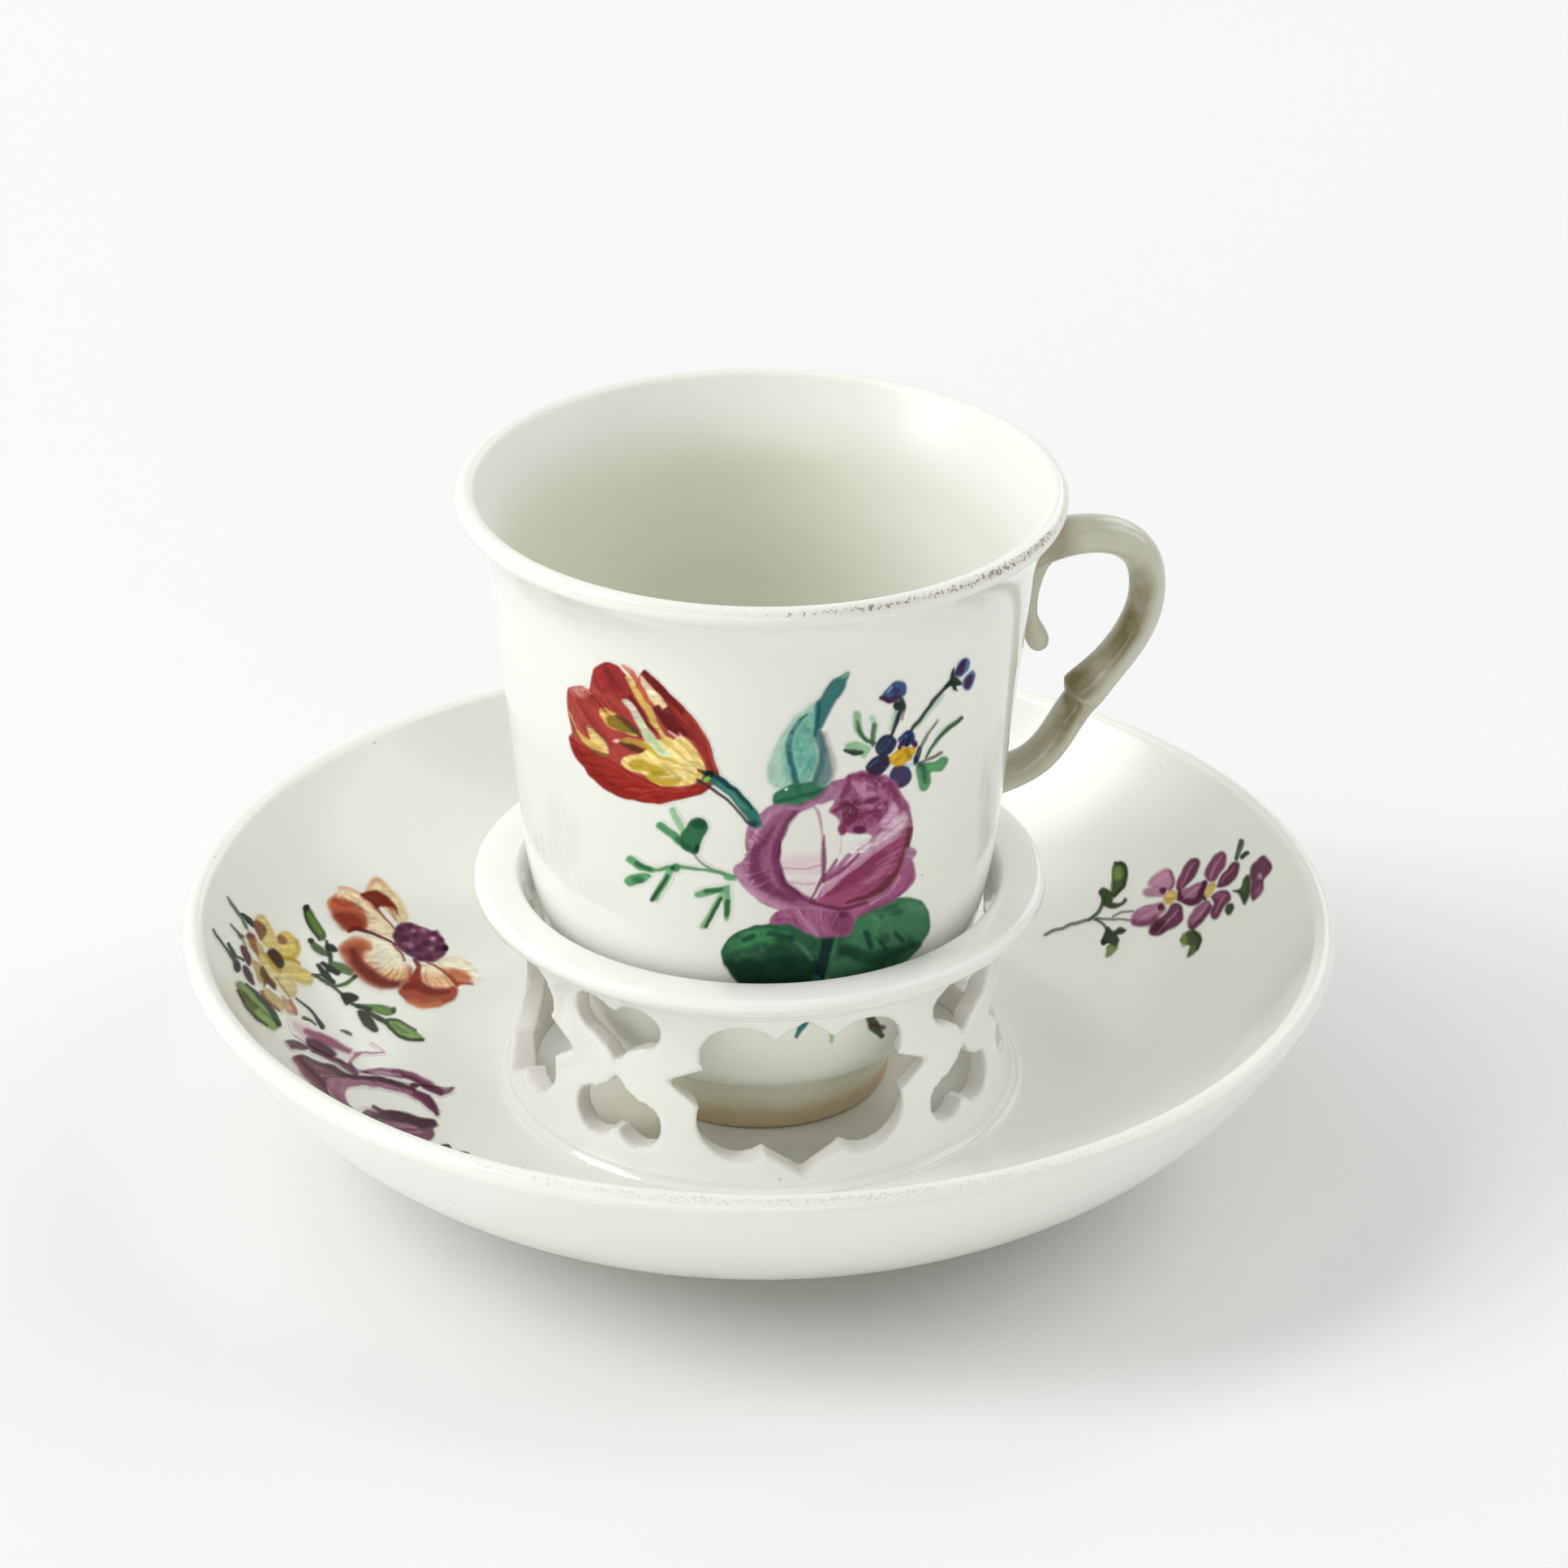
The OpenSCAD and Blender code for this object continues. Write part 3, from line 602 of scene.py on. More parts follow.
def paint_anemone(s):
    s.petal("#EEDFBC", "405,1112 408,1104 416,1098 420,1094 430,1094 442,1100 455,1110 468,1122 480,1136 "
            "486,1148 482,1156 470,1152 455,1146 440,1144 430,1148 420,1142 410,1128", 0.9)
    s.petal("#AE5238", "405,1112 410,1105 420,1106 435,1113 447,1122 452,1132 453,1142 440,1144 430,1148 "
            "420,1141 410,1128", 0.92, 4, 55)
    s.petal("#7E2E26", "412,1126 428,1124 445,1132 450,1142 432,1147 420,1140", 0.75, 5, 55)
    s.brush("#D8A888", "418,1094 430,1095 445,1101 458,1112", (4, 4, 3, 2), 0.7)
    s.brush("#C88A68", "408,1122 405,1112 413,1102", 3, 0.6)
    s.petal("#E2CDA4", "450,1098 455,1087 462,1082 470,1085 480,1094 490,1106 498,1120 503,1130 497,1138 "
            "488,1136 480,1126 470,1116 460,1112 452,1105", 0.85)
    s.petal("#76251D", "444,1102 450,1099 462,1097 472,1101 480,1108 489,1121 480,1117 468,1116 464,1121 "
            "456,1112 448,1106", 0.95, 2.6, 40)
    s.brush("#D9A88C", "454,1094 462,1084 473,1090", 7, 0.65, 3)
    s.brush("#E0C49A", "478,1092 492,1108 502,1130", 5, 0.6, 3)
    s.brush("#8A4A34", "466,1120 474,1130 485,1144", (3, 2.5, 2), 0.8)
    s.brush("#B06A50", "481,1120 488,1132", 3, 0.5)
    s.brush("#C9AE84", "458,1146 470,1150 484,1150", 3, 0.5)
    s.petal("#F0ECD0", "418,1172 422,1160 430,1154 442,1150 455,1152 470,1156 482,1162 490,1172 500,1184 "
            "505,1195 502,1207 490,1211 480,1217 462,1214 445,1204 432,1192 422,1180", 0.93)
    s.brush("#D9986C", "430,1166 440,1184 458,1198 480,1204 500,1198", (10, 18, 18, 14, 9), 0.55, 8)
    s.petal("#A4482F", "419,1173 423,1163 436,1157 448,1160 457,1168 449,1173 447,1183 456,1194 470,1203 "
            "485,1208 500,1205 505,1193 509,1206 495,1213 480,1218 462,1215 445,1205 430,1191", 0.92, 6, 40)
    s.brush("#672019", "434,1172 440,1186 455,1200 472,1211 490,1213", (9, 13, 13, 10, 6), 0.82, 4)
    s.brush("#C27450", "428,1162 442,1160 455,1165", 7, 0.6, 4)
    s.brush("#DCC47C", "482,1204 499,1200", 6, 0.6, 3)
    s.brush("#6A241E", "430,1147 442,1144 456,1149 470,1155 487,1163", (5, 6, 4, 3, 3), 0.88)
    s.brush("#8E4A34", "484,1164 493,1173 499,1184", 3, 0.7)
    s.petal("#F0E2C2", "492,1222 497,1214 508,1208 515,1196 514,1186 522,1188 535,1192 548,1198 556,1208 "
            "562,1215 563,1224 553,1234 540,1240 522,1243 508,1238 497,1230", 0.9)
    s.brush("#D9986C", "506,1212 520,1206 540,1209 557,1208", (9, 15, 15, 10), 0.55, 7)
    s.petal("#A03E2C", "491,1222 500,1212 512,1206 516,1195 520,1205 522,1213 535,1217 550,1217 558,1214 "
            "564,1219 561,1230 548,1237 530,1241 512,1239 498,1231", 0.93, 3, 15)
    s.brush("#70251D", "500,1217 512,1214 530,1222 552,1222", (8, 13, 9, 5), 0.78, 3)
    s.brush("#CC8660", "505,1234 522,1239 542,1236", 7, 0.6, 4)
    s.brush("#86322A", "511,1184 516,1194 509,1207", (5, 7, 9), 0.85)
    s.brush("#D9BC80", "548,1204 555,1212", 5, 0.6, 3)
    s.petal("#E8E2C6", "522,1186 535,1184 550,1180 568,1182 582,1190 592,1200 590,1208 576,1212 562,1212 "
            "556,1204 545,1196 532,1192", 0.75, 3)
    s.petal("#C4704E", "553,1196 565,1195 576,1199 581,1208 570,1212 560,1211", 0.85, 4)
    s.brush("#983C2B", "528,1187 542,1193 554,1202 563,1213", (2, 3, 4.5, 5), 0.88)
    s.brush("#A4442E", "562,1211 582,1212", (4, 2), 0.8)
    s.brush("#E3C3A8", "545,1182 565,1181 580,1188", 2.5, 0.6)
    s.hairs("#8E3524", "408,1108 420,1106 440,1116 452,1134", (515, 1160), 12, 22, 2.8, 0.4)
    s.hairs("#C77A54", "406,1116 416,1100 440,1104 460,1118", (515, 1160), 10, 26, 2.0, 0.5)
    s.hairs("#8A3022", "424,1172 440,1190 462,1206 492,1208", (515, 1160), 16, 18, 2.4, 0.34)
    s.hairs("#C4703F", "422,1166 446,1162 460,1196 500,1202", (515, 1160), 12, 20, 2.0, 0.36)
    s.hairs("#8A3022", "500,1220 516,1208 540,1220 560,1218", (520, 1165), 12, 16, 2.4, 0.36)
    s.hairs("#7A2A20", "450,1100 466,1100 484,1116", (515, 1160), 8, 20, 2.4, 0.6)
    s.hairs("#C06A48", "556,1200 572,1202 582,1210", (530, 1180), 8, 20, 2.2, 0.55)
    s.petal("#6A3450", "485,1150 490,1140 502,1137 515,1140 530,1147 542,1153 548,1162 552,1168 546,1178 "
            "536,1185 522,1185 510,1181 498,1174 488,1164", 0.95, 2.4, 30, 0.3)
    for x, y, r in ((493, 1146, 5), (505, 1141, 4), (498, 1157, 6), (512, 1153, 4), (516, 1169, 5), (505, 1171, 4),
                    (525, 1163, 5), (536, 1150, 4), (541, 1170, 5), (528, 1180, 5), (517, 1182, 4), (488, 1153, 4),
                    (543, 1159, 3)):
        s.dab("#47203A", x, y, r, r * 0.7, 0.6, 2.6)
    for x, y, r in ((510, 1147, 3.4), (522, 1147, 4), (533, 1158, 4.2), (506, 1165, 4), (531, 1170, 3),
                    (499, 1163, 2)):
        s.dab("#B07EA2", x, y, r, r * 0.8, 0.7, 2)
    s.dab("#D8B6CC", 534, 1157, 2.2, 1.8, 0.7)
    s.dab("#24141F", 549, 1168, 4, 3, 0.88)


def paint_yellow_flower(s):
    s.brush("#5A6858", "280,1106 288,1116 296,1128 303,1142", (2, 4, 5, 4), 0.8)
    s.brush("#2E362A", "299,1127 306,1133 313,1140", (4, 8, 5), 0.9)
    s.brush("#6E7C62", "303,1142 308,1152", 3, 0.5)
    s.brush("#4A5A48", "285,1139 292,1148 298,1154", (2, 3, 6), 0.82)
    s.brush("#6A7A5A", "298,1155 304,1168", 3, 0.6)
    s.brush("#3E4A3E", "262,1145 270,1157 280,1170 288,1182 294,1194", (2.5, 3, 4, 6, 7), 0.86)
    s.brush("#2E3A2A", "282,1162 286,1170 289,1178", (4, 5, 3), 0.86)
    s.brush("#3E4A3A", "289,1178 300,1183", 3.4, 0.8)
    s.dab("#262E2A", 292, 1191, 4, 6, 0.85, 2, -20)
    s.petal("#D6C27A", "314,1132 318,1128 325,1129 332,1138 338,1150 342,1165 336,1172 326,1166 "
            "318,1150", 0.9, 3)
    s.petal("#7C4C43", "313,1136 318,1134 326,1142 328,1151 322,1158 316,1148", 0.85)
    s.petal("#CDB272", "303,1153 310,1150 318,1158 326,1172 330,1186 322,1188 314,1176 306,1164", 0.9, 3)
    s.petal("#84604A", "303,1152 308,1150 314,1156 317,1166 318,1178 310,1166", 0.85)
    s.dab("#7A3A4E", 308, 1154, 5, 3, 0.6, 2)
    s.petal("#DCC670", "341,1155 346,1149 355,1148 364,1155 369,1165 367,1176 360,1183 350,1184 343,1175 "
            "341,1165", 0.93, 3)
    s.brush("#C9A944", "366,1159 368,1171 361,1182", 5, 0.7, 3)
    s.brush("#B8902E", "341,1179 354,1181 367,1187", 5, 0.78, 2.6)
    s.petal("#8A5450", "341,1155 347,1152 354,1159 350,1163 343,1162", 0.75)
    s.petal("#DCC67A", "345,1188 358,1186 370,1190 380,1197 387,1204 383,1212 372,1214 360,1206 "
            "352,1200", 0.9, 3)
    s.petal("#DACB8E", "345,1195 356,1202 365,1212 367,1222 362,1230 352,1224 344,1214 338,1205", 0.9, 3)
    s.petal("#D8CD96", "320,1180 330,1178 340,1188 346,1200 344,1214 334,1208 324,1196", 0.9, 3)
    s.brush("#A07A62", "341,1205 348,1216 357,1228", 2, 0.7)
    s.petal("#5E2A3E", "296,1165 301,1165 307,1174 310,1185 307,1190 301,1182 297,1174", 0.9)
    s.petal("#BFA36A", "310,1182 318,1186 328,1200 330,1212 322,1212 314,1198", 0.85)
    s.petal("#4E2636", "299,1190 304,1190 311,1202 315,1213 309,1211 302,1202", 0.9)
    s.petal("#C9B47C", "322,1220 330,1218 342,1226 352,1238 346,1246 338,1242 328,1232", 0.85)
    s.brush("#8A5A4A", "322,1222 330,1234 343,1245", (3, 5, 3), 0.8)
    s.petal("#C9A484", "348,1226 356,1232 364,1242 366,1250 358,1250 350,1240", 0.85)
    s.brush("#B07A5A", "358,1232 362,1240 365,1249", 4, 0.7)
    s.brush("#C29A2E", "328,1176 334,1188 345,1197", 4.5, 0.8, 2.4)
    s.petal("#472B21", "330,1172 336,1169 343,1174 349,1182 350,1190 345,1194 338,1189 332,1181", 0.95)
    s.petal("#5C3B21", "322,1190 328,1197 334,1206 340,1212 340,1219 334,1216 328,1212 324,1217 325,1208 "
            "320,1200", 0.9)
    s.petal("#7C9A5A", "291,1210 297,1208 305,1213 315,1224 326,1236 337,1250 344,1260 343,1267 338,1270 "
            "328,1264 315,1254 303,1240 295,1226", 0.92, 2, 50)
    s.brush("#4A5A34", "299,1226 314,1242", 8, 0.6, 3)
    s.brush("#8DB068", "318,1248 334,1262", 8, 0.7, 3)
    s.brush("#35371F", "292,1220 302,1238 315,1253 329,1263", (3, 4, 4, 3), 0.86)
    s.brush("#2B3326", "304,1212 320,1228 334,1246 343,1263", (3, 6, 8, 6), 0.82)
    s.brush("#3E4046", "366,1230 377,1240 388,1252 397,1265", (2, 3, 4, 6), 0.86)
    s.brush("#4E5E44", "374,1254 381,1259 387,1263", (4, 7, 5), 0.8)


def paint_green_sprig(s):
    s.petal("#4F7034", "374,1120 377,1116 382,1120 390,1132 397,1143 401,1150 399,1158 392,1156 383,1145 "
            "376,1133", 0.93, 2, 55)
    s.brush("#6E9444", "380,1126 388,1138 395,1150", (4, 6, 5), 0.8)
    s.dab("#23281B", 377, 1119, 4, 4, 0.85, 2)
    s.brush("#2E3A22", "375,1122 380,1140 393,1157", 2.6, 0.8)
    s.petal("#556E40", "380,1157 385,1159 394,1165 402,1172 407,1178 400,1178 390,1173 383,1166", 0.9)
    s.dab("#2A3224", 383, 1159, 3.5, 3, 0.8)
    s.brush("#3A4A30", "402,1160 405,1174 408,1186 404,1196", (4, 5, 5, 6), 0.86)
    s.petal("#272F22", "400,1166 407,1163 413,1167 416,1172 410,1174 403,1171", 0.93)
    s.brush("#5E7E4A", "410,1188 420,1192 431,1197", (8, 11, 8), 0.86)
    s.brush("#2B3726", "393,1190 400,1200 411,1210", (5, 9, 6), 0.9)
    s.brush("#20281C", "398,1187 408,1193 416,1198", (5, 8, 5), 0.86)
    s.brush("#4A583E", "385,1201 395,1206 408,1214 420,1224 428,1229", (3, 4, 4, 4, 4), 0.86)
    s.brush("#3A4636", "384,1201 394,1202 406,1201", 3, 0.8)
    s.brush("#55703F", "404,1213 415,1215 425,1212 434,1206 438,1202", (3, 4, 5, 5, 4), 0.86)
    s.dab("#333F2B", 437, 1203, 3, 2.5, 0.8)
    s.petal("#29321F", "420,1226 427,1223 436,1224 442,1229 440,1233 433,1236 427,1239 423,1234", 0.93)
    s.brush("#3E4A30", "434,1237 441,1241", 4, 0.85)
    s.petal("#6C9050", "440,1240 448,1238 462,1238 476,1239 485,1243 486,1249 478,1252 468,1250 455,1245", 0.92)
    s.brush("#2E3A26", "441,1240 456,1244", 5, 0.82)
    s.dab("#3A4A30", 485, 1245, 3, 4, 0.75)
    s.petal("#3B4732", "441,1246 448,1245 457,1252 464,1262 466,1270 461,1272 452,1266 444,1256", 0.93)
    s.brush("#3A4230", "452,1246 465,1254 476,1260", (4, 6, 5), 0.86)
    s.petal("#80A060", "473,1258 482,1256 495,1260 510,1268 521,1277 524,1281 515,1282 500,1281 487,1275 "
            "478,1267", 0.92)
    s.brush("#5E7E44", "484,1263 502,1273", 4, 0.6)
    s.brush("#2E3A26", "475,1259 486,1272 503,1281 521,1281", (3, 3, 3, 4), 0.86)
    s.brush("#3A4A30", "478,1257 495,1259 513,1269", 3, 0.7)
    s.brush("#4A5A3E", "421,1270 427,1272 432,1274", (3, 5, 3), 0.72)


def paint_front_rose(s):
    s.petal("#C9A6B6", "357,1266 372,1270 390,1280 405,1290 425,1300 440,1306 430,1310 405,1303 385,1297 "
            "370,1290 362,1280", 0.5, 5, 30)
    s.brush("#8E4A68", "376,1280 390,1287 410,1295 428,1303", (8, 12, 10, 5), 0.8, 3)
    s.petal("#4C2838", "376,1289 392,1292 405,1300 413,1309 405,1312 392,1308 381,1302", 0.88, 3, 30)
    s.petal("#5A2A44", "350,1292 358,1290 368,1294 381,1300 372,1303 362,1302 356,1302 353,1298", 0.9, 2.4)
    s.petal("#532D39", "360,1312 368,1308 380,1312 395,1318 410,1322 425,1330 440,1336 420,1337 405,1338 "
            "400,1345 404,1355 412,1365 424,1374 438,1384 450,1396 420,1382 404,1366 390,1352 376,1336 "
            "364,1320", 0.95, 2.4, 40)
    s.brush("#8A4A60", "361,1314 377,1337 397,1359 420,1377 440,1388", (6, 7, 6, 6, 4), 0.75, 2.4)
    s.brush("#8E5A6A", "386,1323 407,1330", 4, 0.7, 2.4)
    s.brush("#B08A96", "393,1334 412,1334", 2, 0.5)
    s.brush("#6A3A50", "384,1304 405,1313 420,1320 437,1331", (4, 7, 7, 6), 0.82, 2.4)
    s.brush("#A87890", "436,1308 452,1306 471,1306", (4, 3, 2), 0.7)
    s.brush("#C9A6B8", "456,1295 466,1301 471,1306", 3, 0.6)
    s.brush("#A06A84", "428,1319 434,1312 441,1308", 4, 0.7)
    s.brush("#7A4460", "430,1320 436,1331", 5, 0.7)
    s.petal("#83506E", "440,1330 455,1326 475,1326 495,1328 515,1334 530,1342 545,1350 556,1348 553,1355 "
            "543,1358 532,1355 520,1347 505,1340 485,1336 465,1334", 0.86, 2.4, 15)
    s.brush("#5A2440", "483,1331 505,1336 522,1346 542,1354", (6, 8, 9, 6), 0.82, 2.4)
    s.brush("#C9A9BA", "445,1333 470,1331 492,1334", 2.5, 0.6)
    s.petal("#966279", "399,1340 420,1336 450,1338 480,1344 505,1352 522,1362 535,1374 538,1382 530,1378 "
            "515,1366 495,1356 470,1350 445,1347 430,1349 424,1357 427,1368 436,1380 425,1375 412,1363 "
            "404,1352", 0.9, 2.4, 15)
    s.brush("#4A2434", "420,1335 445,1337 470,1340 490,1345 508,1352", (4, 5, 6, 5, 4), 0.9)
    s.dab("#5A2A40", 508, 1347, 5, 3, 0.8)
    s.hairs("#8E5A74", "372,1314 392,1322 412,1328", (410, 1372), 8, 24, 2.0, 0.5)
    s.hairs("#3E1C30", "445,1336 470,1338 500,1346 525,1360", (560, 1400), 10, 22, 2.0, 0.5)
    s.hairs("#C09AB0", "450,1328 480,1327 510,1334", (570, 1368), 8, 24, 1.8, 0.5)
    s.brush("#5A2440", "510,1356 522,1362 532,1372 537,1382", (7, 12, 10, 4), 0.86, 2.2)
    s.brush("#8A5468", "416,1344 413,1358 426,1374", 8, 0.6, 3)
    s.petal("#6A3A52", "442,1384 452,1376 466,1378 480,1378 500,1380 515,1385 530,1390 538,1396 532,1400 "
            "534,1408 525,1416 500,1420 480,1412 462,1402 448,1393", 0.88, 2.4, 15)
    s.brush("#3C1D27", "460,1384 478,1384 500,1387 520,1393 532,1393", (9, 12, 10, 11, 7), 0.84, 2.4)
    s.brush("#A8788E", "468,1392 490,1397 512,1398", 2, 0.7)
    s.brush("#B08AA0", "476,1400 498,1405 517,1404", 2, 0.7)
    s.hairs("#B48AA2", "458,1386 480,1390 505,1396", (560, 1420), 9, 22, 1.6, 0.55)
    s.brush("#5A2A40", "459,1372 473,1380", 5, 0.86)
    s.brush("#C2A0B0", "436,1378 448,1374 462,1379", 3, 0.6)
    s.brush("#2E3626", "502,1413 512,1419 526,1425 542,1432", (2, 3, 4, 4), 0.86)
    s.petal("#5A6E3E", "532,1427 540,1422 550,1421 553,1425 548,1429 538,1431", 0.92)
    s.brush("#262C1D", "531,1428 541,1422 551,1421 553,1426", 2.4, 0.85)
    s.petal("#5A6E3E", "546,1433 558,1428 568,1428 575,1432 572,1436 560,1438 550,1436", 0.92)
    s.brush("#262C1D", "548,1432 560,1428 573,1430 574,1435 560,1438", 2.4, 0.85)
    s.dab("#2A3020", 523, 1420, 5, 3, 0.85)


def paint_purple_sprig(s):
    s.brush("#6F7B66", "1288,1151 1305,1145 1325,1137 1342,1133 1360,1132 "
            "1392,1133", (4, 4, 4, 4, 3, 2.5), 0.82)
    s.brush("#4E5E40", "1342,1133 1352,1126 1358,1116 1361,1106", (3, 4, 5, 6), 0.86)
    s.brush("#6A7A5E", "1372,1129 1382,1124 1395,1122", 2.6, 0.7)
    s.brush("#4A5A40", "1350,1134 1360,1139 1366,1147", 3.4, 0.8)
    s.petal("#4A5E34", "1370,1072 1374,1064 1381,1061 1387,1068 1387,1080 1384,1092 1378,1101 1370,1104 "
            "1370,1090", 0.92, 2.4)
    s.petal("#86A65A", "1372,1073 1378,1066 1383,1072 1381,1082 1374,1085", 0.85, 3)
    s.brush("#33402A", "1374,1064 1384,1064 1388,1075 1384,1092 1373,1105", 4, 0.82)
    s.petal("#3E4E30", "1354,1098 1358,1093 1366,1096 1372,1105 1370,1112 1380,1113 1386,1107 1388,1110 "
            "1380,1117 1370,1119 1360,1116 1358,1107", 0.92)
    s.petal("#7A8E58", "1366,1165 1376,1162 1378,1168 1370,1176 1362,1180 1363,1172", 0.86)
    s.petal("#3B4731", "1357,1160 1362,1148 1366,1141 1372,1147 1380,1143 1388,1146 1384,1150 1376,1152 "
            "1379,1158 1376,1166 1368,1163", 0.93)
    s.dab("#2E3A26", 1360, 1161, 4, 4, 0.86)
    s.petal("#B07898", "1408,1098 1412,1094 1425,1092 1436,1098 1436,1104 1424,1105 1412,1104", 0.76, 3)
    s.petal("#BC80A0", "1414,1090 1420,1080 1430,1073 1440,1070 1446,1078 1447,1090 1440,1097 "
            "1428,1094", 0.86, 2.4, -50, 0.35)
    s.brush("#7E4464", "1442,1074 1446,1086 1441,1096", 4, 0.6, 2.4)
    s.petal("#A66A8C", "1393,1135 1396,1124 1406,1118 1420,1114 1432,1111 1437,1120 1426,1132 1414,1140 "
            "1402,1142", 0.87, 2.4, -20, 0.35)
    s.brush("#6A3252", "1398,1136 1414,1138 1424,1132", 8, 0.6, 3)
    s.brush("#C9A0B8", "1406,1122 1424,1117", 3, 0.5, 2.4)
    s.petal("#6E3450", "1449,1095 1452,1082 1460,1068 1468,1058 1476,1058 1478,1068 1472,1080 1462,1090 "
            "1454,1097", 0.93, 2.2, -55, 0.3)
    s.brush("#9C6080", "1453,1088 1459,1073 1468,1061", 3, 0.6, 2)
    s.petal("#9C6482", "1452,1104 1456,1096 1466,1092 1478,1088 1485,1085 1484,1096 1478,1106 1470,1114 "
            "1460,1113", 0.9, 2.4)
    s.brush("#562240", "1453,1107 1468,1112 1478,1106 1484,1090", (8, 9, 8, 6), 0.86, 2.4)
    s.petal("#6A3050", "1415,1146 1422,1136 1434,1128 1440,1120 1446,1113 1456,1117 1458,1130 1452,1140 "
            "1440,1146 1430,1152 1420,1152", 0.93, 2.4, -45, 0.3)
    s.petal("#461C2E", "1418,1147 1426,1136 1437,1137 1433,1148", 0.7, 3)
    s.brush("#8E5070", "1446,1120 1450,1134", 4, 0.5, 2.4)
    for vein in ("1418,1092 1428,1083 1440,1076", "1400,1136 1414,1127 1431,1117", "1426,1149 1438,1137 1450,1122",
                 "1455,1092 1462,1078 1471,1064", "1459,1108 1468,1100 1480,1092"):
        s.brush("#DDB4CA", vein, (1.5, 2.6, 1.2), 0.5, 1.8)
    s.petal("#DABF70", "1433,1108 1438,1100 1445,1096 1450,1102 1448,1110 1440,1115", 0.97, 2)
    s.dab("#C49A3E", 1441, 1109, 4, 3, 0.5, 2)
    s.dab("#5A2440", 1433, 1097, 4, 4, 0.8)
    s.dab("#4A2038", 1430, 1117, 4, 4, 0.8)
    s.dab("#5A2440", 1453, 1101, 3, 5, 0.75)
    s.petal("#8E5474", "1463,1138 1468,1124 1478,1114 1488,1109 1493,1118 1486,1130 1476,1140 "
            "1468,1146", 0.88, 2.4, -50, 0.35)
    s.brush("#5E2846", "1468,1142 1482,1132 1491,1118", (6, 6, 4), 0.65, 2.4)
    s.petal("#7E3E5E", "1484,1078 1488,1066 1496,1055 1504,1049 1511,1052 1510,1064 1504,1076 1498,1084 "
            "1490,1086", 0.92, 2.2, -60, 0.3)
    s.brush("#AE7092", "1491,1080 1498,1062", 4, 0.6, 2.4)
    s.petal("#642A48", "1499,1093 1504,1082 1512,1070 1520,1062 1527,1064 1526,1074 1520,1084 "
            "1510,1092", 0.93, 2.2, -45, 0.3)
    s.petal("#6E3450", "1493,1105 1502,1098 1512,1098 1517,1106 1510,1116 1502,1128 1496,1133 1491,1125 "
            "1496,1114", 0.92, 2.2, -60, 0.3)
    s.dab("#A0688A", 1503, 1104, 6, 4.5, 0.6, 2.6)
    for vein in ("1469,1139 1479,1126 1488,1115", "1491,1080 1497,1067 1506,1054", "1505,1088 1512,1078 1521,1068",
                 "1498,1124 1504,1113 1510,1103"):
        s.brush("#DDB4CA", vein, (1.5, 2.4, 1.2), 0.45, 1.8)
    s.petal("#DABF74", "1484,1103 1487,1092 1493,1085 1498,1088 1496,1098 1489,1107", 0.97, 2)
    s.brush("#4E2038", "1485,1087 1480,1097 1484,1107", 5, 0.8, 2)
    s.petal("#4A5636", "1454,1160 1460,1150 1466,1146 1476,1148 1480,1158 1476,1168 1470,1176 1463,1179 "
            "1466,1166", 0.92, 2.4)
    s.dab("#7E9A4E", 1459, 1158, 4, 8, 0.8, 2.4)
    s.dab("#6E8446", 1469, 1170, 4, 6, 0.65, 2.4)
    s.brush("#333E2A", "1470,1147 1478,1158 1475,1168", 4, 0.7, 2)
    s.petal("#3E4A30", "1510,1122 1512,1115 1518,1112 1521,1118 1517,1126 1513,1127", 0.92)
    s.brush("#4A5A3E", "1523,1058 1527,1046 1529,1036", (5, 7, 6), 0.86)
    s.brush("#8A9466", "1527,1052 1530,1044", 3, 0.6)
    s.brush("#2E3A2C", "1531,1056 1537,1051", 6, 0.86)
    s.petal("#6A3050", "1540,1078 1543,1066 1550,1060 1557,1054 1563,1060 1567,1068 1563,1078 1557,1084 "
            "1557,1095 1550,1105 1543,1110 1540,1100 1542,1088", 0.92, 2.2, -60, 0.3)
    s.petal("#9C6484", "1545,1100 1553,1089 1557,1096 1549,1107", 0.72, 3)
    s.dab("#C9A8BC", 1552, 1080, 3, 4, 0.7, 2)
    s.petal("#3A4A2E", "1519,1098 1528,1096 1532,1084 1538,1078 1541,1086 1540,1098 1536,1110 1533,1115 "
            "1529,1106 1526,1101", 0.93)
    s.brush("#5E7A44", "1534,1084 1532,1097", 3, 0.6)


def paint_left_spray(s):
    paint_green_sprig(s)
    paint_yellow_flower(s)
    paint_anemone(s)


dish_face = np.concatenate([[(34.6, FLOOR_Z)], dish_inner[::-1]])
enamel_film("saucer_left_spray", dish_face, -1, 0.03, (250, 1070, 605, 1290), paint_left_spray, "saucer")
enamel_film("saucer_front_rose", dish_face, -1, 0.045, (340, 1255, 590, 1450), paint_front_rose, "saucer",
            (2, -9), 1.03)
enamel_film("saucer_right_sprig", dish_face, -1, 0.03, (1275, 1020, 1585, 1195), paint_purple_sprig, "saucer")


# Cup body: a tall thrown beaker of thin porcelain that widens evenly to an out-turned, rolled lip.
# It stands loose in the gallery. The lip's glaze is rubbed away in brown specks, most of all on the right.
NECK_Z, DRAW_Z, FLARE_Z, BELLY_Z, BASE_Z = 30.7, 43.0, 77.0, 23.9, 14.2
NECK_R, LEAN, DRAW, BASE_R = 28.52, 0.10194, 0.007403, 17.3
CUP_T, FLOOR_IN = 2.5, 17.6
CUP_LIP = (36.0, 87.2, 1.3)


def cup_radius(z):
    return NECK_R + LEAN * (z - NECK_Z) - DRAW * np.maximum(0, DRAW_Z - z) ** 2


def cup_lean(z):
    return LEAN + 2 * DRAW * max(0, DRAW_Z - z)


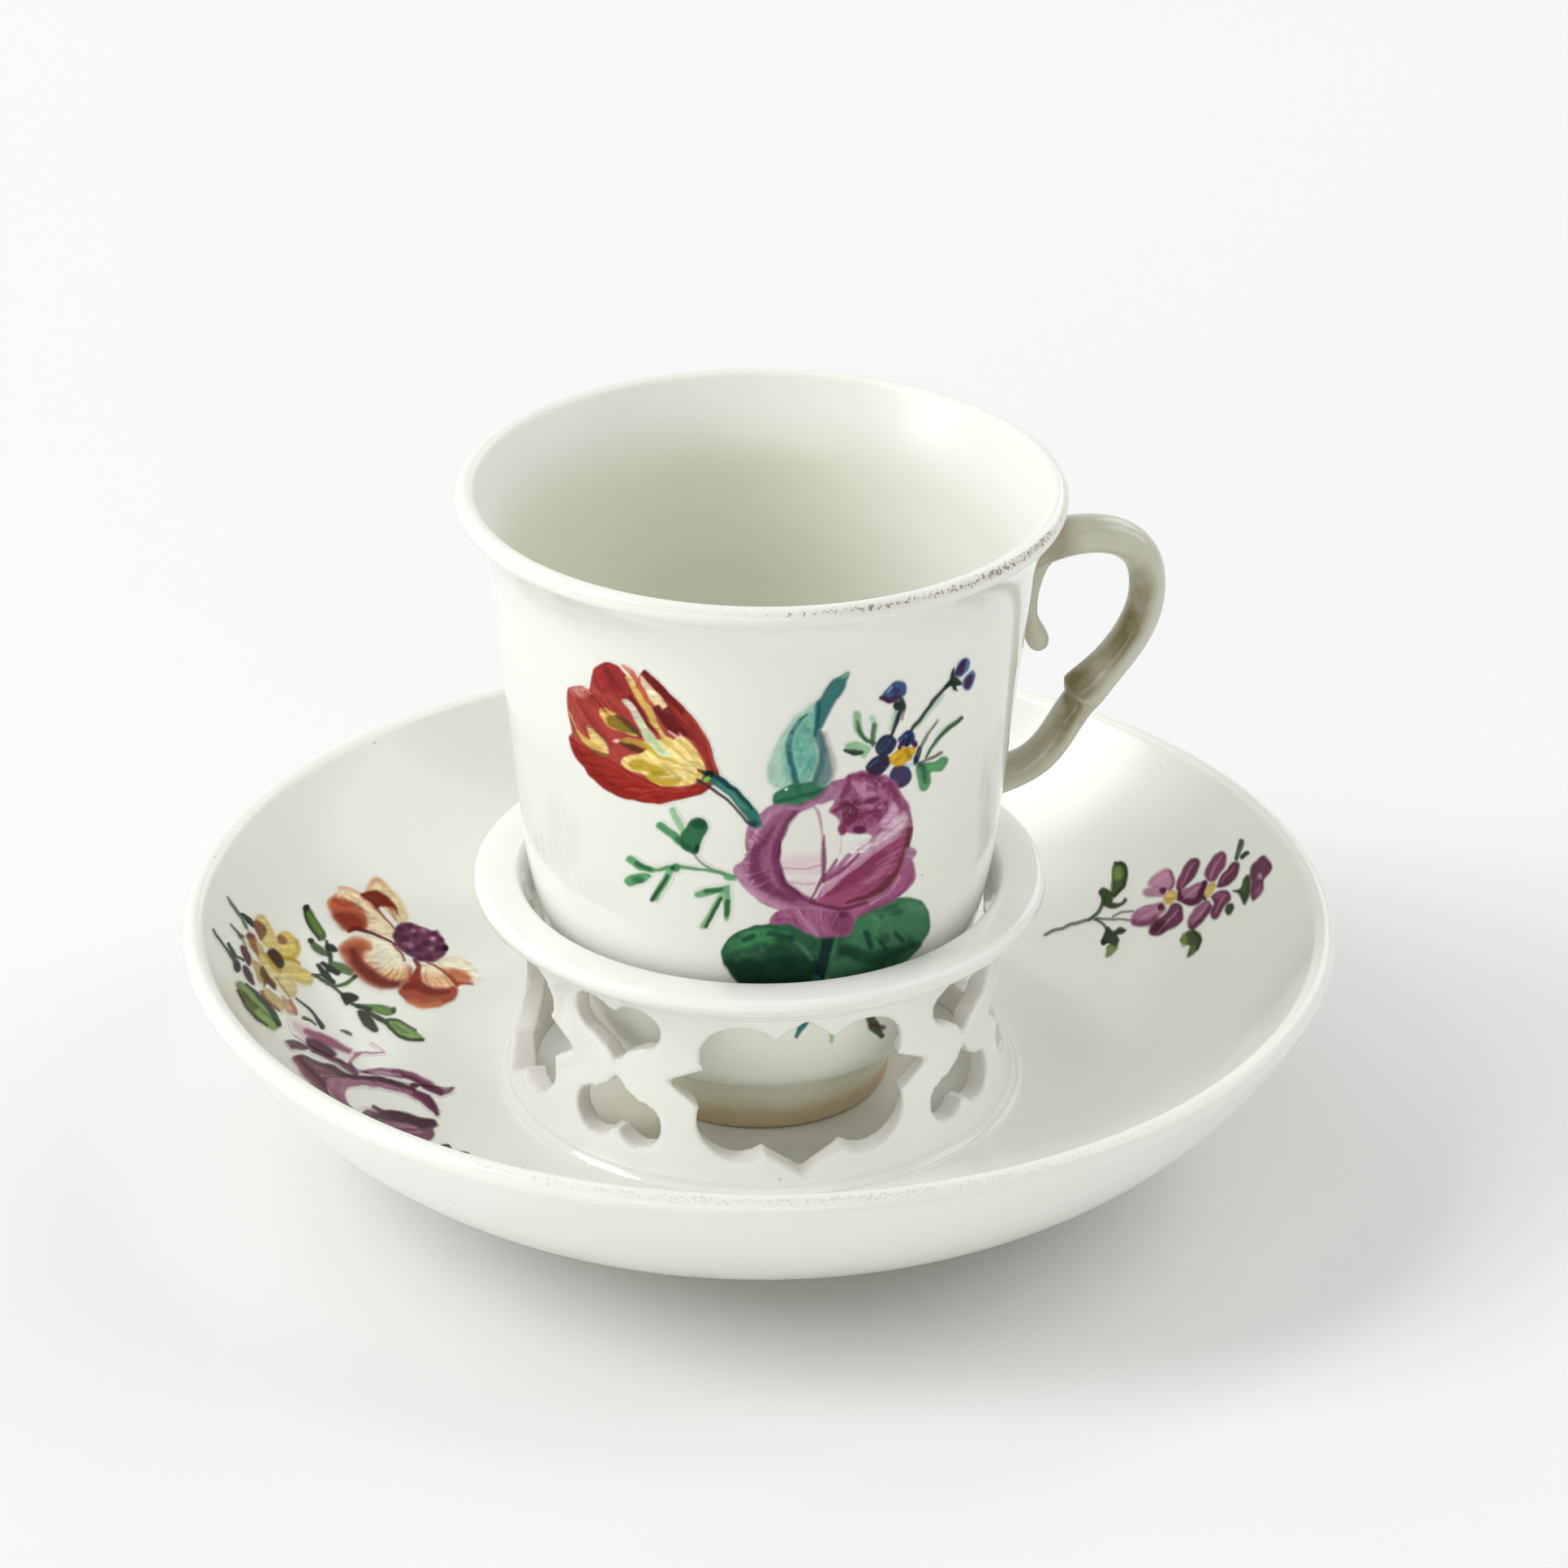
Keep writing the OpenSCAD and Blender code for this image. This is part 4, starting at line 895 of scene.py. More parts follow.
rise = BELLY_Z - BASE_Z
belly_r, flare_r = cup_radius(BELLY_Z), cup_radius(FLARE_Z)
cup_belly = bow_line((BASE_R, BASE_Z), (BASE_R + 0.46 * (belly_r - BASE_R), BASE_Z + 0.04 * rise),
                     (belly_r - cup_lean(BELLY_Z) * 0.6 * rise, BELLY_Z - 0.6 * rise), (belly_r, BELLY_Z), 30)
wall_z = np.linspace(BELLY_Z, FLARE_Z, 70)
cup_wall = np.column_stack([cup_radius(wall_z), wall_z])
cup_lip = round_line(*CUP_LIP, -40, 150, 30)
bore_r = flare_r - CUP_T
cup_flare = bow_line((flare_r, FLARE_Z), (flare_r + 0.42, FLARE_Z + 4.1), cup_lip[0] - (2.1, 2.5), cup_lip[0], 26)
cup_inflare = bow_line(cup_lip[-1], cup_lip[-1] - (1.9, 3.29), (bore_r + 0.42, FLARE_Z + 4.1), (bore_r, FLARE_Z), 26)
bore_z = np.linspace(FLARE_Z, BELLY_Z + 2, 60)
cup_bore = np.column_stack([cup_radius(bore_z) - CUP_T, bore_z])
turn_r, turn_z = cup_bore[-1]
dip = turn_z - FLOOR_IN
cup_bowl = bow_line((turn_r, turn_z), (turn_r - cup_lean(turn_z) * 0.55 * dip, turn_z - 0.55 * dip),
                    (0.72 * turn_r, FLOOR_IN), (0.3 * turn_r, FLOOR_IN), 30)
cup_line = np.concatenate([[(0, BASE_Z), (9, BASE_Z)], cup_belly, cup_wall[1:], cup_flare[1:], cup_lip[1:],
                           cup_inflare[1:], cup_bore[1:], cup_bowl[1:], [(0, FLOOR_IN)]])
cup = turn_on_wheel("cup_body_porcelain", cup_line, 256)
co = points_of(cup) / MM
round_at = np.degrees(np.arctan2(co[:, 1], co[:, 0]))
rubbed = 0.12 + 0.95 * bell(round_at, -47, 21) + 0.6 * bell(round_at, -80, 15)
note_on_points(cup, "worn", lip_crest(co, CUP_LIP, 40, 86.3) * np.clip(rubbed, 0, 1))
from_axis = np.hypot(co[:, 0], co[:, 1])
# Painted shade: an olive tint on the inside below the lip, where less light reaches. The same mask, with the
# inward-facing faces, also roughens the inside.
well_in = soft_step(cup_radius(co[:, 2]) - 1.2 - from_axis, -0.3, 0.3) * soft_step(87.0 - co[:, 2], 0, 9)
# Side weight of the painted shade: full on the left and back, which the window on the left leaves in shade, and a
# fifth on the lit right.
thick = 0.2 + 0.8 * soft_step(np.cos(np.radians(round_at - 150)), -0.7, 0.4)
well_in = well_in * (co[:, 2] > 16)
note_on_points(cup, "painted_shade_inside", well_in * thick)
towards_axis = -np.sum(points_of(cup, "normal")[:, :2] * co[:, :2], axis=1) / np.maximum(from_axis, 1e-6)
note_on_points(cup, "inside", np.maximum(well_in, soft_step(towards_axis, 0.1, 0.5)))
glaze("glazed_porcelain_cup", painted_shade_inside=True, worn=(2400, "#5C4423", "#947A4E", 0.78)).wear(cup)
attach(cup, "cup")
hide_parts("cup_body")


# Painted bouquet on the cup: a striped tulip, a purple rose and a small blue flower with their leaves, brushed
# over the glaze in enamel and fired on. The films lie on the cup's wall, the stems running down behind the gallery.
def paint_tulip(s):
    s.petal("#A84A42", "699,851 706,846 724,851 731,829 747,816 769,829 781,846 793,827 825,855 862,897 "
            "880,936 886,957 874,971 846,983 805,990 758,979 727,956 702,912 705,902 "
            "699,875", 0.94, 1.6, 45, 0.2)
    s.petal("#A2383A", "731,828 734,821 748,816 760,820 769,829 774,838 779,858 768,862 748,857 738,849 "
            "732,840", 0.96, 1.8, 60)
    s.petal("#7C2B2C", "741,824 752,822 763,831 769,846 765,853 752,848 744,838", 0.62, 6, 60)
    s.petal("#AE4A44", "699,850 705,846 715,845 724,850 728,856 736,853 745,853 757,858 767,862 772,872 "
            "778,884 788,900 796,912 801,919 780,926 760,933 745,935 733,925 722,905 712,885 "
            "704,868", 0.96, 1.8, 55, 0.3)
    s.brush("#8A2C2A", "712,866 724,882 738,900 752,918", (4, 9, 9, 5), 0.55, 4)
    s.brush("#8A2C2A", "748,862 764,878 780,898", (4, 6, 4), 0.5, 3)
    s.brush("#C4675A", "705,860 716,880 728,895", (2, 3, 2), 0.5)
    s.petal("#E6B3A8", "702,850 712,845 722,849 727,857 718,860 708,858", 0.72, 3)
    s.petal("#9E302B", "701,909 706,925 715,941 727,956 742,970 758,979 775,984 790,988 805,990 818,988 "
            "832,985 845,984 860,980 875,971 860,967 840,973 822,970 806,965 795,960 780,954 768,946 755,938 "
            "745,933 733,929 722,922 712,914", 0.97, 1.8, 33, 0.25)
    s.brush("#822621", "711,922 735,950 770,973 812,983", (4, 8, 8, 4), 0.55, 3)
    s.brush("#BC4A3C", "738,935 780,958 820,974 862,973", (2, 3, 3, 2), 0.6)
    s.brush("#B8473A", "724,935 758,964 800,980", (2, 2.4, 2), 0.5)
    s.petal("#E6D78F", "698,873 704,885 712,900 717,910 722,918 733,927 745,932 751,926 747,916 738,905 "
            "728,896 722,893 724,903 727,911 716,904 709,893 703,880", 0.96, 1.6)
    s.brush("#C4AA50", "712,900 722,912 738,922", (3, 6, 5), 0.75, 2.4)
    s.brush("#66522A", "722,922 735,928 748,931", (3, 6, 4), 0.8)
    s.brush("#5A3A2A", "723,894 736,903 746,915 752,926", 2, 0.65)
    s.petal("#E8D27A", "738,873 744,871 752,875 765,884 778,893 789,905 778,906 765,901 752,898 745,890 "
            "739,882", 0.97, 1.5)
    s.petal("#7A6224", "747,884 757,883 768,890 778,898 787,904 772,903 760,899 750,895", 0.85, 2)
    s.brush("#46301F", "759,882 770,889 780,897 789,906", (3, 6.5, 6, 3), 0.88)
    s.dab("#EBCFC4", 760, 914, 5.5, 2.4, 0.9, 1.4, 10)
    s.petal("#B99F55", "765,912 775,909 786,911 797,916 792,920 778,917 768,916", 0.92, 1.5)
    s.brush("#4A3620", "764,916 778,921 790,926 800,930", (3, 7, 6, 3), 0.88)
    s.petal("#F6E496", "765,941 766,934 775,930 788,929 797,921 792,912 802,913 812,911 822,907 830,911 "
            "838,907 846,911 856,921 865,935 870,948 866,958 858,964 846,968 830,969 815,968 803,962 795,955 "
            "782,952 772,948", 0.98, 1.6, 40, 0.15)
    s.petal("#B3952F", "773,940 785,935 800,940 815,945 821,950 808,954 795,950 780,949", 0.86, 2.6)
    s.petal("#B8992F", "797,956 810,950 825,952 839,958 835,966 820,968 806,964", 0.82, 2.6)
    s.brush("#BEA038", "789,914 800,922 815,932 832,941", (7, 9, 6, 3), 0.82, 2.4)
    s.brush("#F2EABA", "823,924 845,940 863,952", (3, 6, 3), 0.75, 2)
    s.brush("#F0E7B4", "815,958 840,955 862,954", (3, 6, 3), 0.65, 2)
    s.brush("#CDB052", "818,914 840,931 860,948", 2.4, 0.65)
    s.brush("#CDB052", "834,911 850,927 864,945", 2.4, 0.65)
    s.brush("#A8862E", "828,946 846,950 862,955", 2, 0.55)
    s.hairs("#A8862E", "868,952 862,940 846,966", (790, 925), 9, 34, 1.8, 0.45)
    s.hairs("#F3EBC0", "866,955 858,936 842,964", (800, 915), 8, 30, 2.4, 0.55)
    s.petal("#E0E6D4", "766,863 772,862 781,868 788,880 796,893 806,908 818,922 827,933 813,931 803,922 "
            "795,912 787,897 778,880", 0.97, 1.6)
    s.brush("#AECA8E", "788,890 800,908 816,926", (5, 9, 6), 0.75, 3)
    s.petal("#E3CB78", "771,835 775,833 782,845 792,858 801,870 806,880 811,893 820,905 831,919 822,918 "
            "812,905 803,893 795,878 787,865 778,850", 0.97, 1.6)
    s.brush("#C9A94C", "782,850 795,870 806,890", (2, 3, 2), 0.6)
    s.petal("#EFE7C6", "788,832 795,836 805,847 815,858 822,870 827,881 815,876 806,868 797,855 "
            "789,842", 0.97, 1.6)
    s.brush("#E6D58A", "804,861 817,874", 6, 0.55, 2)
    s.brush("#C8664C", "768,820 777,828 786,844 796,860 807,872", (3, 6.5, 6, 5, 2), 0.88)
    s.brush("#E0A896", "768,820 776,826", 4, 0.6, 2)
    s.brush("#6A2422", "777,859 788,874 795,888 803,898 810,905", (5, 4.4, 3.4, 3, 1.6), 0.92)
    s.petal("#692324", "805,873 812,869 816,874 822,870 830,876 842,890 852,902 857,913 846,908 838,905 "
            "830,903 822,897 814,888", 0.96, 1.6)
    s.brush("#EAD8D0", "825,900 836,910", (2, 3), 0.8)
    s.brush("#EAD8D0", "838,903 843,912", (2, 2.6), 0.75)
    s.petal("#9A3A34", "792,828 795,825 806,835 825,854 845,875 862,896 874,916 880,935 883,949 887,958 "
            "877,951 868,935 858,918 848,904 835,889 822,870 808,850 797,838", 0.96, 1.6, 48, 0.25)
    s.brush("#652322", "794,828 808,843 822,858 840,878", (6, 8, 8, 5), 0.82, 2)
    s.brush("#C4685A", "850,881 866,904 876,929 882,949", (3, 4, 4, 2), 0.55)
    s.hairs("#701E1C", "705,915 722,945 760,978", (880, 975), 12, 44, 2.4, 0.5)
    s.hairs("#C8584A", "709,912 735,950 790,984", (880, 968), 10, 40, 1.8, 0.5)
    s.hairs("#76201F", "703,853 716,850 728,858 746,858", (800, 935), 10, 34, 2.4, 0.5)
    s.hairs("#C65E52", "735,824 750,819 766,828", (775, 870), 6, 22, 1.8, 0.5)
    s.dab("#D9A42E", 865, 951, 5, 4, 0.8, 2)
    s.brush("#5A2A20", "861,948 869,953", 3, 0.85)
    s.brush("#32756A", "871,957 885,963 900,974 914,988 926,1004 931,1014", (11, 13, 13, 14, 15, 14), 0.95, 2)
    s.brush("#7DB5A6", "884,964 902,978 918,996", (2, 4, 3), 0.45, 2)
    s.brush("#203E46", "867,951 880,956 897,967 913,980 926,996", (5, 6, 5, 4, 3), 0.88)
    s.brush("#383430", "861,961 875,970 893,983 908,997 920,1012 930,1017", (5, 3.4, 3, 3, 3, 4), 0.88)
    s.dab("#1C1C20", 874, 954, 6, 4, 0.9)
    s.dab("#9DBE4E", 871, 960, 4, 3.6, 0.9)
    s.dab("#1F4A55", 929, 1014, 5, 3, 0.7)


def paint_teal_leaf(s):
    s.petal("#9CC4AE", "948,964 946,945 955,923 965,903 980,884 1000,868 1008,866 1006,890 1006,920 1009,937 "
            "1005,952 995,963 985,969 965,974", 0.78, 5, -60)
    s.petal("#7ABBAB", "972,962 967,940 972,915 980,898 998,877 1005,892 1005,920 1008,940 999,959 "
            "988,966", 0.78, 4, -65, 0.3)
    s.petal("#2F7676", "1005,868 1014,855 1022,842 1033,834 1045,828 1043,843 1036,855 1028,868 1020,882 "
            "1012,897 1006,899 1004,880", 0.92, 2.6, -55, 0.3)
    s.dab("#A9C7A0", 1041, 832, 5, 3.4, 0.6, 2.4, -35)
    s.petal("#66898A", "1006,898 1013,902 1019,918 1024,938 1026,956 1018,969 1006,976 998,969 1003,955 "
            "1009,940 1008,925 1004,908", 0.82, 3, 70)
    s.brush("#A79C9C", "1016,905 1023,925 1028,943 1026,960", 6, 0.5, 3.4)
    s.brush("#305C66", "994,880 985,888 977,900 972,918 974,938 978,952 982,968 "
            "985,984", (2, 4, 6, 7, 7, 8, 7, 5), 0.86, 2)
    s.brush("#2B5C60", "1008,866 1009,876 1006,890 1005,906", (3, 5, 6, 3), 0.82, 2)
    s.brush("#43686A", "1010,902 1014,920 1012,945 1004,963", (4, 6, 8, 5), 0.55, 3)
    s.blot("#2E7C80", "966,962 966,920 984,890 1004,874 1006,930 996,962", 0.3, 12, 0.36)
    s.blot("#BFE0D2", "950,960 950,930 966,905 984,886 976,930 972,962", 0.35, 12, 0.36)
    s.petal("#3B7D5C", "952,986 955,978 965,972 978,966 990,965 1000,963 1008,968 1015,972 1026,964 1023,976 "
            "1010,983 998,990 985,996 965,997 955,994", 0.94, 2.2)
    s.brush("#255040", "958,988 975,984 1000,978 1018,972", (3, 5, 4, 3), 0.6, 2.4)
    s.dab("#F3F4EE", 969.5, 973, 1.8, 1.6, 0.95, 1.2)


def paint_rose(s):
    s.petal("#A86490", "1022,968 1040,960 1050,953 1062,950 1072,956 1100,960 1108,972 1115,985 1120,1000 "
            "1123,1015 1122,1030 1118,1045 1127,1046 1128,1052 1122,1060 1127,1070 1126,1082 1120,1092 "
            "1110,1103 1095,1112 1080,1118 1068,1124 1056,1130 1050,1140 1045,1150 1035,1153 1010,1153 "
            "995,1149 975,1139 950,1137 952,1128 960,1120 945,1117 930,1105 915,1092 906,1078 905,1070 "
            "912,1063 920,1052 919,1040 921,1020 930,1008 940,1000 950,993 960,990 985,992 "
            "1005,983", 0.86, 2, 60, 0.3)
    s.wipe("962,1050 963,1030 970,1012 985,998 1000,993 1015,989 1027,986 1026,1000 1034,1010 1045,1026 "
           "1073,1030 1066,1046 1048,1060 1030,1074 1014,1092 1002,1108 985,1099 970,1085 963,1070", 0.96, 3)
    s.petal("#B487A0", "921,1046 919,1030 923,1018 935,1005 950,993 965,990 985,992 1000,985 1015,980 1025,966 "
            "1040,960 1047,957 1047,975 1032,984 1008,988 988,999 972,1013 963,1030 961,1055 964,1080 976,1100 "
            "1002,1113 985,1122 955,1120 935,1108 918,1094 906,1078 906,1068 918,1060", 0.88, 2, 120, 0.35)
    s.petal("#95587A", "1005,985 985,990 965,999 947,1012 936,1028 926,1048 924,1070 932,1090 950,1106 "
            "980,1117 1003,1114 976,1099 963,1076 960,1046 966,1020 981,1003 1002,993", 0.78, 4, 110, 0.35)
    s.brush("#6A3050", "953,1018 944,1035 932,1050 930,1068 940,1086 956,1099 "
            "978,1109", (4, 8, 13, 15, 14, 12, 6), 0.66, 4)
    s.brush("#703458", "980,1002 966,1021 957,1042 957,1065 963,1085 978,1100 "
            "1002,1110", (5, 8, 10, 10, 10, 9, 5), 0.74, 3)
    s.brush("#5A2742", "962,1038 960,1060 965,1085 986,1103", 3, 0.75)
    s.brush("#D6B7C8", "938,1014 928,1032 926,1044", (3, 4, 2), 0.55, 2.4)
    s.brush("#D6B7C8", "970,996 990,995 1004,988", (3, 3, 2), 0.5, 2)
    s.brush("#C7A0B6", "908,1072 918,1090 935,1105 960,1118", (6, 8, 8, 5), 0.6, 3)
    s.brush("#A77893", "912,1082 930,1098 957,1113", 2, 0.65)
    s.brush("#8C5474", "916,1066 926,1080 940,1094", 2.4, 0.5, 2)
    s.petal("#D9B4C4", "963,1057 990,1054 1012,1057 1012,1077 990,1079 965,1075", 0.45, 6, 0, 0.4)
    s.petal("#E3CBD3", "970,1085 1000,1082 1010,1085 1000,1105 985,1098", 0.45, 5)
    s.brush("#A87890", "966,1070 990,1071 1011,1066", 1.6, 0.5)
    s.brush("#A87890", "972,1086 990,1090 1004,1088", 1.6, 0.45)
    s.brush("#B98AA4", "1000,992 1008,1000 1012,1015 1014,1042", (3, 4, 3, 2), 0.72)
    s.brush("#CFA9BC", "1034,1012 1037,1030 1035,1052", 2.2, 0.62)
    s.petal("#AC6E90", "1025,966 1040,960 1046,958 1052,953 1062,950 1070,955 1080,957 1092,955 1099,962 "
            "1107,972 1113,983 1120,992 1123,1010 1124,1022 1121,1040 1113,1036 1104,1021 1100,1000 1090,1008 "
            "1075,1020 1060,1018 1045,1023 1038,1029 1034,1011 1026,1003 1022,998 1032,985 "
            "1044,978", 0.92, 2, 30, 0.3)
    s.petal("#CB9CB8", "1057,968 1066,965 1075,971 1077,980 1066,983 1058,978", 0.75, 4)
    s.brush("#743553", "1047,957 1045,970 1037,981", (5, 10, 5), 0.74, 2.4)
    s.brush("#7A3A58", "1052,957 1066,957 1082,962 1096,972 1108,992", (8, 10, 14, 14, 9), 0.66, 3)
    s.brush("#5E2A42", "1058,954 1078,959 1094,968", (2, 3, 2), 0.6)
    s.brush("#682C44", "1028,999 1045,990 1065,988 1082,985", (5, 8, 8, 4), 0.82, 2.4)
    s.petal("#552630", "1037,996 1048,991 1057,997 1055,1008 1046,1017 1039,1012", 0.88, 2.4)
    s.brush("#7A3450", "1040,1015 1052,1008 1068,1003 1084,997", (6, 8, 5, 3), 0.82, 2.4)
    s.brush("#86405E", "1108,1000 1115,1012 1117,1030", (5, 8, 5), 0.6, 3)
    s.blot("#6E2E4E", "1030,980 1050,956 1078,957 1098,964 1110,984 1121,1000 1122,1030 1106,1020 1080,1012 "
           "1050,1016 1034,1004", 0.62, 9, 0.36)
    s.blot("#D2A4C0", "1030,980 1050,956 1078,957 1098,964 1110,984 1121,1000 1122,1030 1106,1020 1080,1012 "
           "1050,1016 1034,1004", 0.5, 7, 0.22)
    s.hairs("#7A3558", "1032,1006 1046,1016 1062,1018 1082,1012", (1050, 960), 10, 18, 2.6, 0.6)
    s.petal("#D8B6CA", "1085,1012 1092,1003 1098,992 1103,988 1107,998 1104,1013 1096,1020 1088,1020", 0.86, 3)
    s.wipe("1039,1027 1052,1028 1068,1028 1074,1032 1068,1043 1055,1051 1042,1053 1038,1045", 0.92, 3)
    s.dab("#86405F", 1038, 1022, 5, 7, 0.86, 2)
    s.dab("#642C44", 1059, 1022, 8, 5, 0.88, 2)
    s.brush("#74365A", "1074,1036 1085,1028 1098,1021", (6, 9, 4), 0.86, 2)
    s.brush("#6A3A50", "1072,1044 1076,1037", 3, 0.8)
    s.petal("#ECE0E4", "1040,1053 1060,1037 1080,1029 1098,1015 1111,1001 1119,1004 1116,1018 1100,1030 "
            "1080,1042 1058,1056 1042,1066", 0.78, 4)
    for vein in ("1046,1056 1062,1044 1078,1034", "1084,1034 1098,1024 1112,1012", "1090,1018 1102,1006"):
        s.brush("#B07A9A", vein, (1.5, 3, 1.5), 0.6, 2)
    s.petal("#D6B2C4", "1016,1086 1035,1074 1060,1056 1085,1040 1098,1034 1080,1050 1055,1070 1032,1090 "
            "1014,1104", 0.72, 3, -35)
    s.petal("#A85A78", "1012,1106 1030,1088 1060,1064 1085,1044 1100,1037 1112,1026 1121,1020 1123,1030 "
            "1119,1050 1113,1066 1101,1086 1085,1099 1068,1108 1045,1115 1025,1117 "
            "1008,1113", 0.96, 2, -40, 0.28)
    s.brush("#7A3452", "1020,1102 1040,1090 1060,1075 1087,1052", (6, 14, 17, 12), 0.64, 4)
    s.brush("#B8829E", "1060,1092 1085,1075 1102,1052", (3, 5, 3), 0.45, 3)
    s.brush("#55302D", "1121,1022 1117,1045 1107,1070 1091,1090 1071,1104 "
            "1044,1112", (6, 7, 7, 8, 7, 4), 0.74, 2.4)
    s.brush("#CDA2BA", "1012,1104 1035,1084 1062,1063 1090,1041 1110,1028", (2, 3, 3, 3, 2), 0.75)
    s.petal("#A8648A", "1113,1061 1122,1058 1128,1070 1127,1085 1119,1096 1106,1106 1092,1114 1075,1120 "
            "1058,1129 1047,1126 1050,1118 1070,1111 1090,1099 1104,1083", 0.88, 2, -40, 0.3)
    s.petal("#B98AA8", "1115,1046 1124,1043 1129,1048 1125,1058 1115,1061", 0.75, 2)
    s.brush("#D4AEC4", "1073,1114 1095,1100 1109,1081", 2.2, 0.65)
    s.brush("#7E4464", "1062,1126 1088,1114 1112,1098 1124,1080", (2, 3, 3, 2), 0.6, 2)
    s.brush("#8A4668", "1016,1030 1015,1050 1015,1070 1014,1087", (2, 5, 5, 3), 0.82, 2)
    s.brush("#A06084", "1014,1084 1022,1074 1030,1060", (3, 5, 4), 0.82)
    s.brush("#A0658A", "1014,1085 1030,1072 1046,1053", (3, 6, 5), 0.78)
    s.brush("#8A466A", "1014,1086 1035,1074 1058,1052", (3, 5, 4), 0.82)
    s.brush("#8A4668", "998,1109 1008,1092 1016,1079", (2, 4, 4), 0.82)
    s.hairs("#6E2C4C", "1116,1030 1112,1052 1098,1078 1072,1098", (1014, 1106), 12, 40, 2.4, 0.5)
    s.hairs("#C48CAC", "1108,1036 1100,1062 1078,1090", (1016, 1104), 8, 32, 1.8, 0.5)
    s.hairs("#6E2C50", "930,1008 922,1040 916,1068 934,1100", (990, 1060), 14, 26, 2.6, 0.5)
    s.hairs("#D9B6CA", "944,1000 928,1030 914,1074 946,1110", (990, 1062), 10, 22, 1.8, 0.5)
    s.brush("#6A3044", "998,1111 1020,1118 1045,1119 1068,1112", (3, 5, 5, 3), 0.82)
    s.petal("#A8688C", "950,1138 953,1128 962,1121 980,1120 1000,1121 1020,1123 1045,1123 1056,1130 1051,1142 "
            "1043,1153 1015,1156 1003,1154 990,1148 975,1140 960,1139", 0.92, 2, 75, 0.35)
    s.brush("#CBA0BC", "984,1124 995,1138 1006,1152", (4, 6, 8), 0.62, 3)
    s.petal("#7A3854", "1024,1126 1042,1124 1051,1132 1045,1149 1030,1151 1021,1138", 0.58, 4)
    s.dab("#642C44", 1039, 1127, 6, 4, 0.65, 2.4)
    s.brush("#7E4062", "955,1134 972,1132 990,1142", (2, 3, 2), 0.6, 2)
    s.hairs("#7E3A60", "956,1126 985,1122 1020,1124 1050,1128", (1005, 1180), 12, 18, 2.4, 0.55)
    s.hairs("#D4AAC6", "962,1124 995,1122 1040,1126", (1005, 1176), 9, 16, 1.8, 0.5)


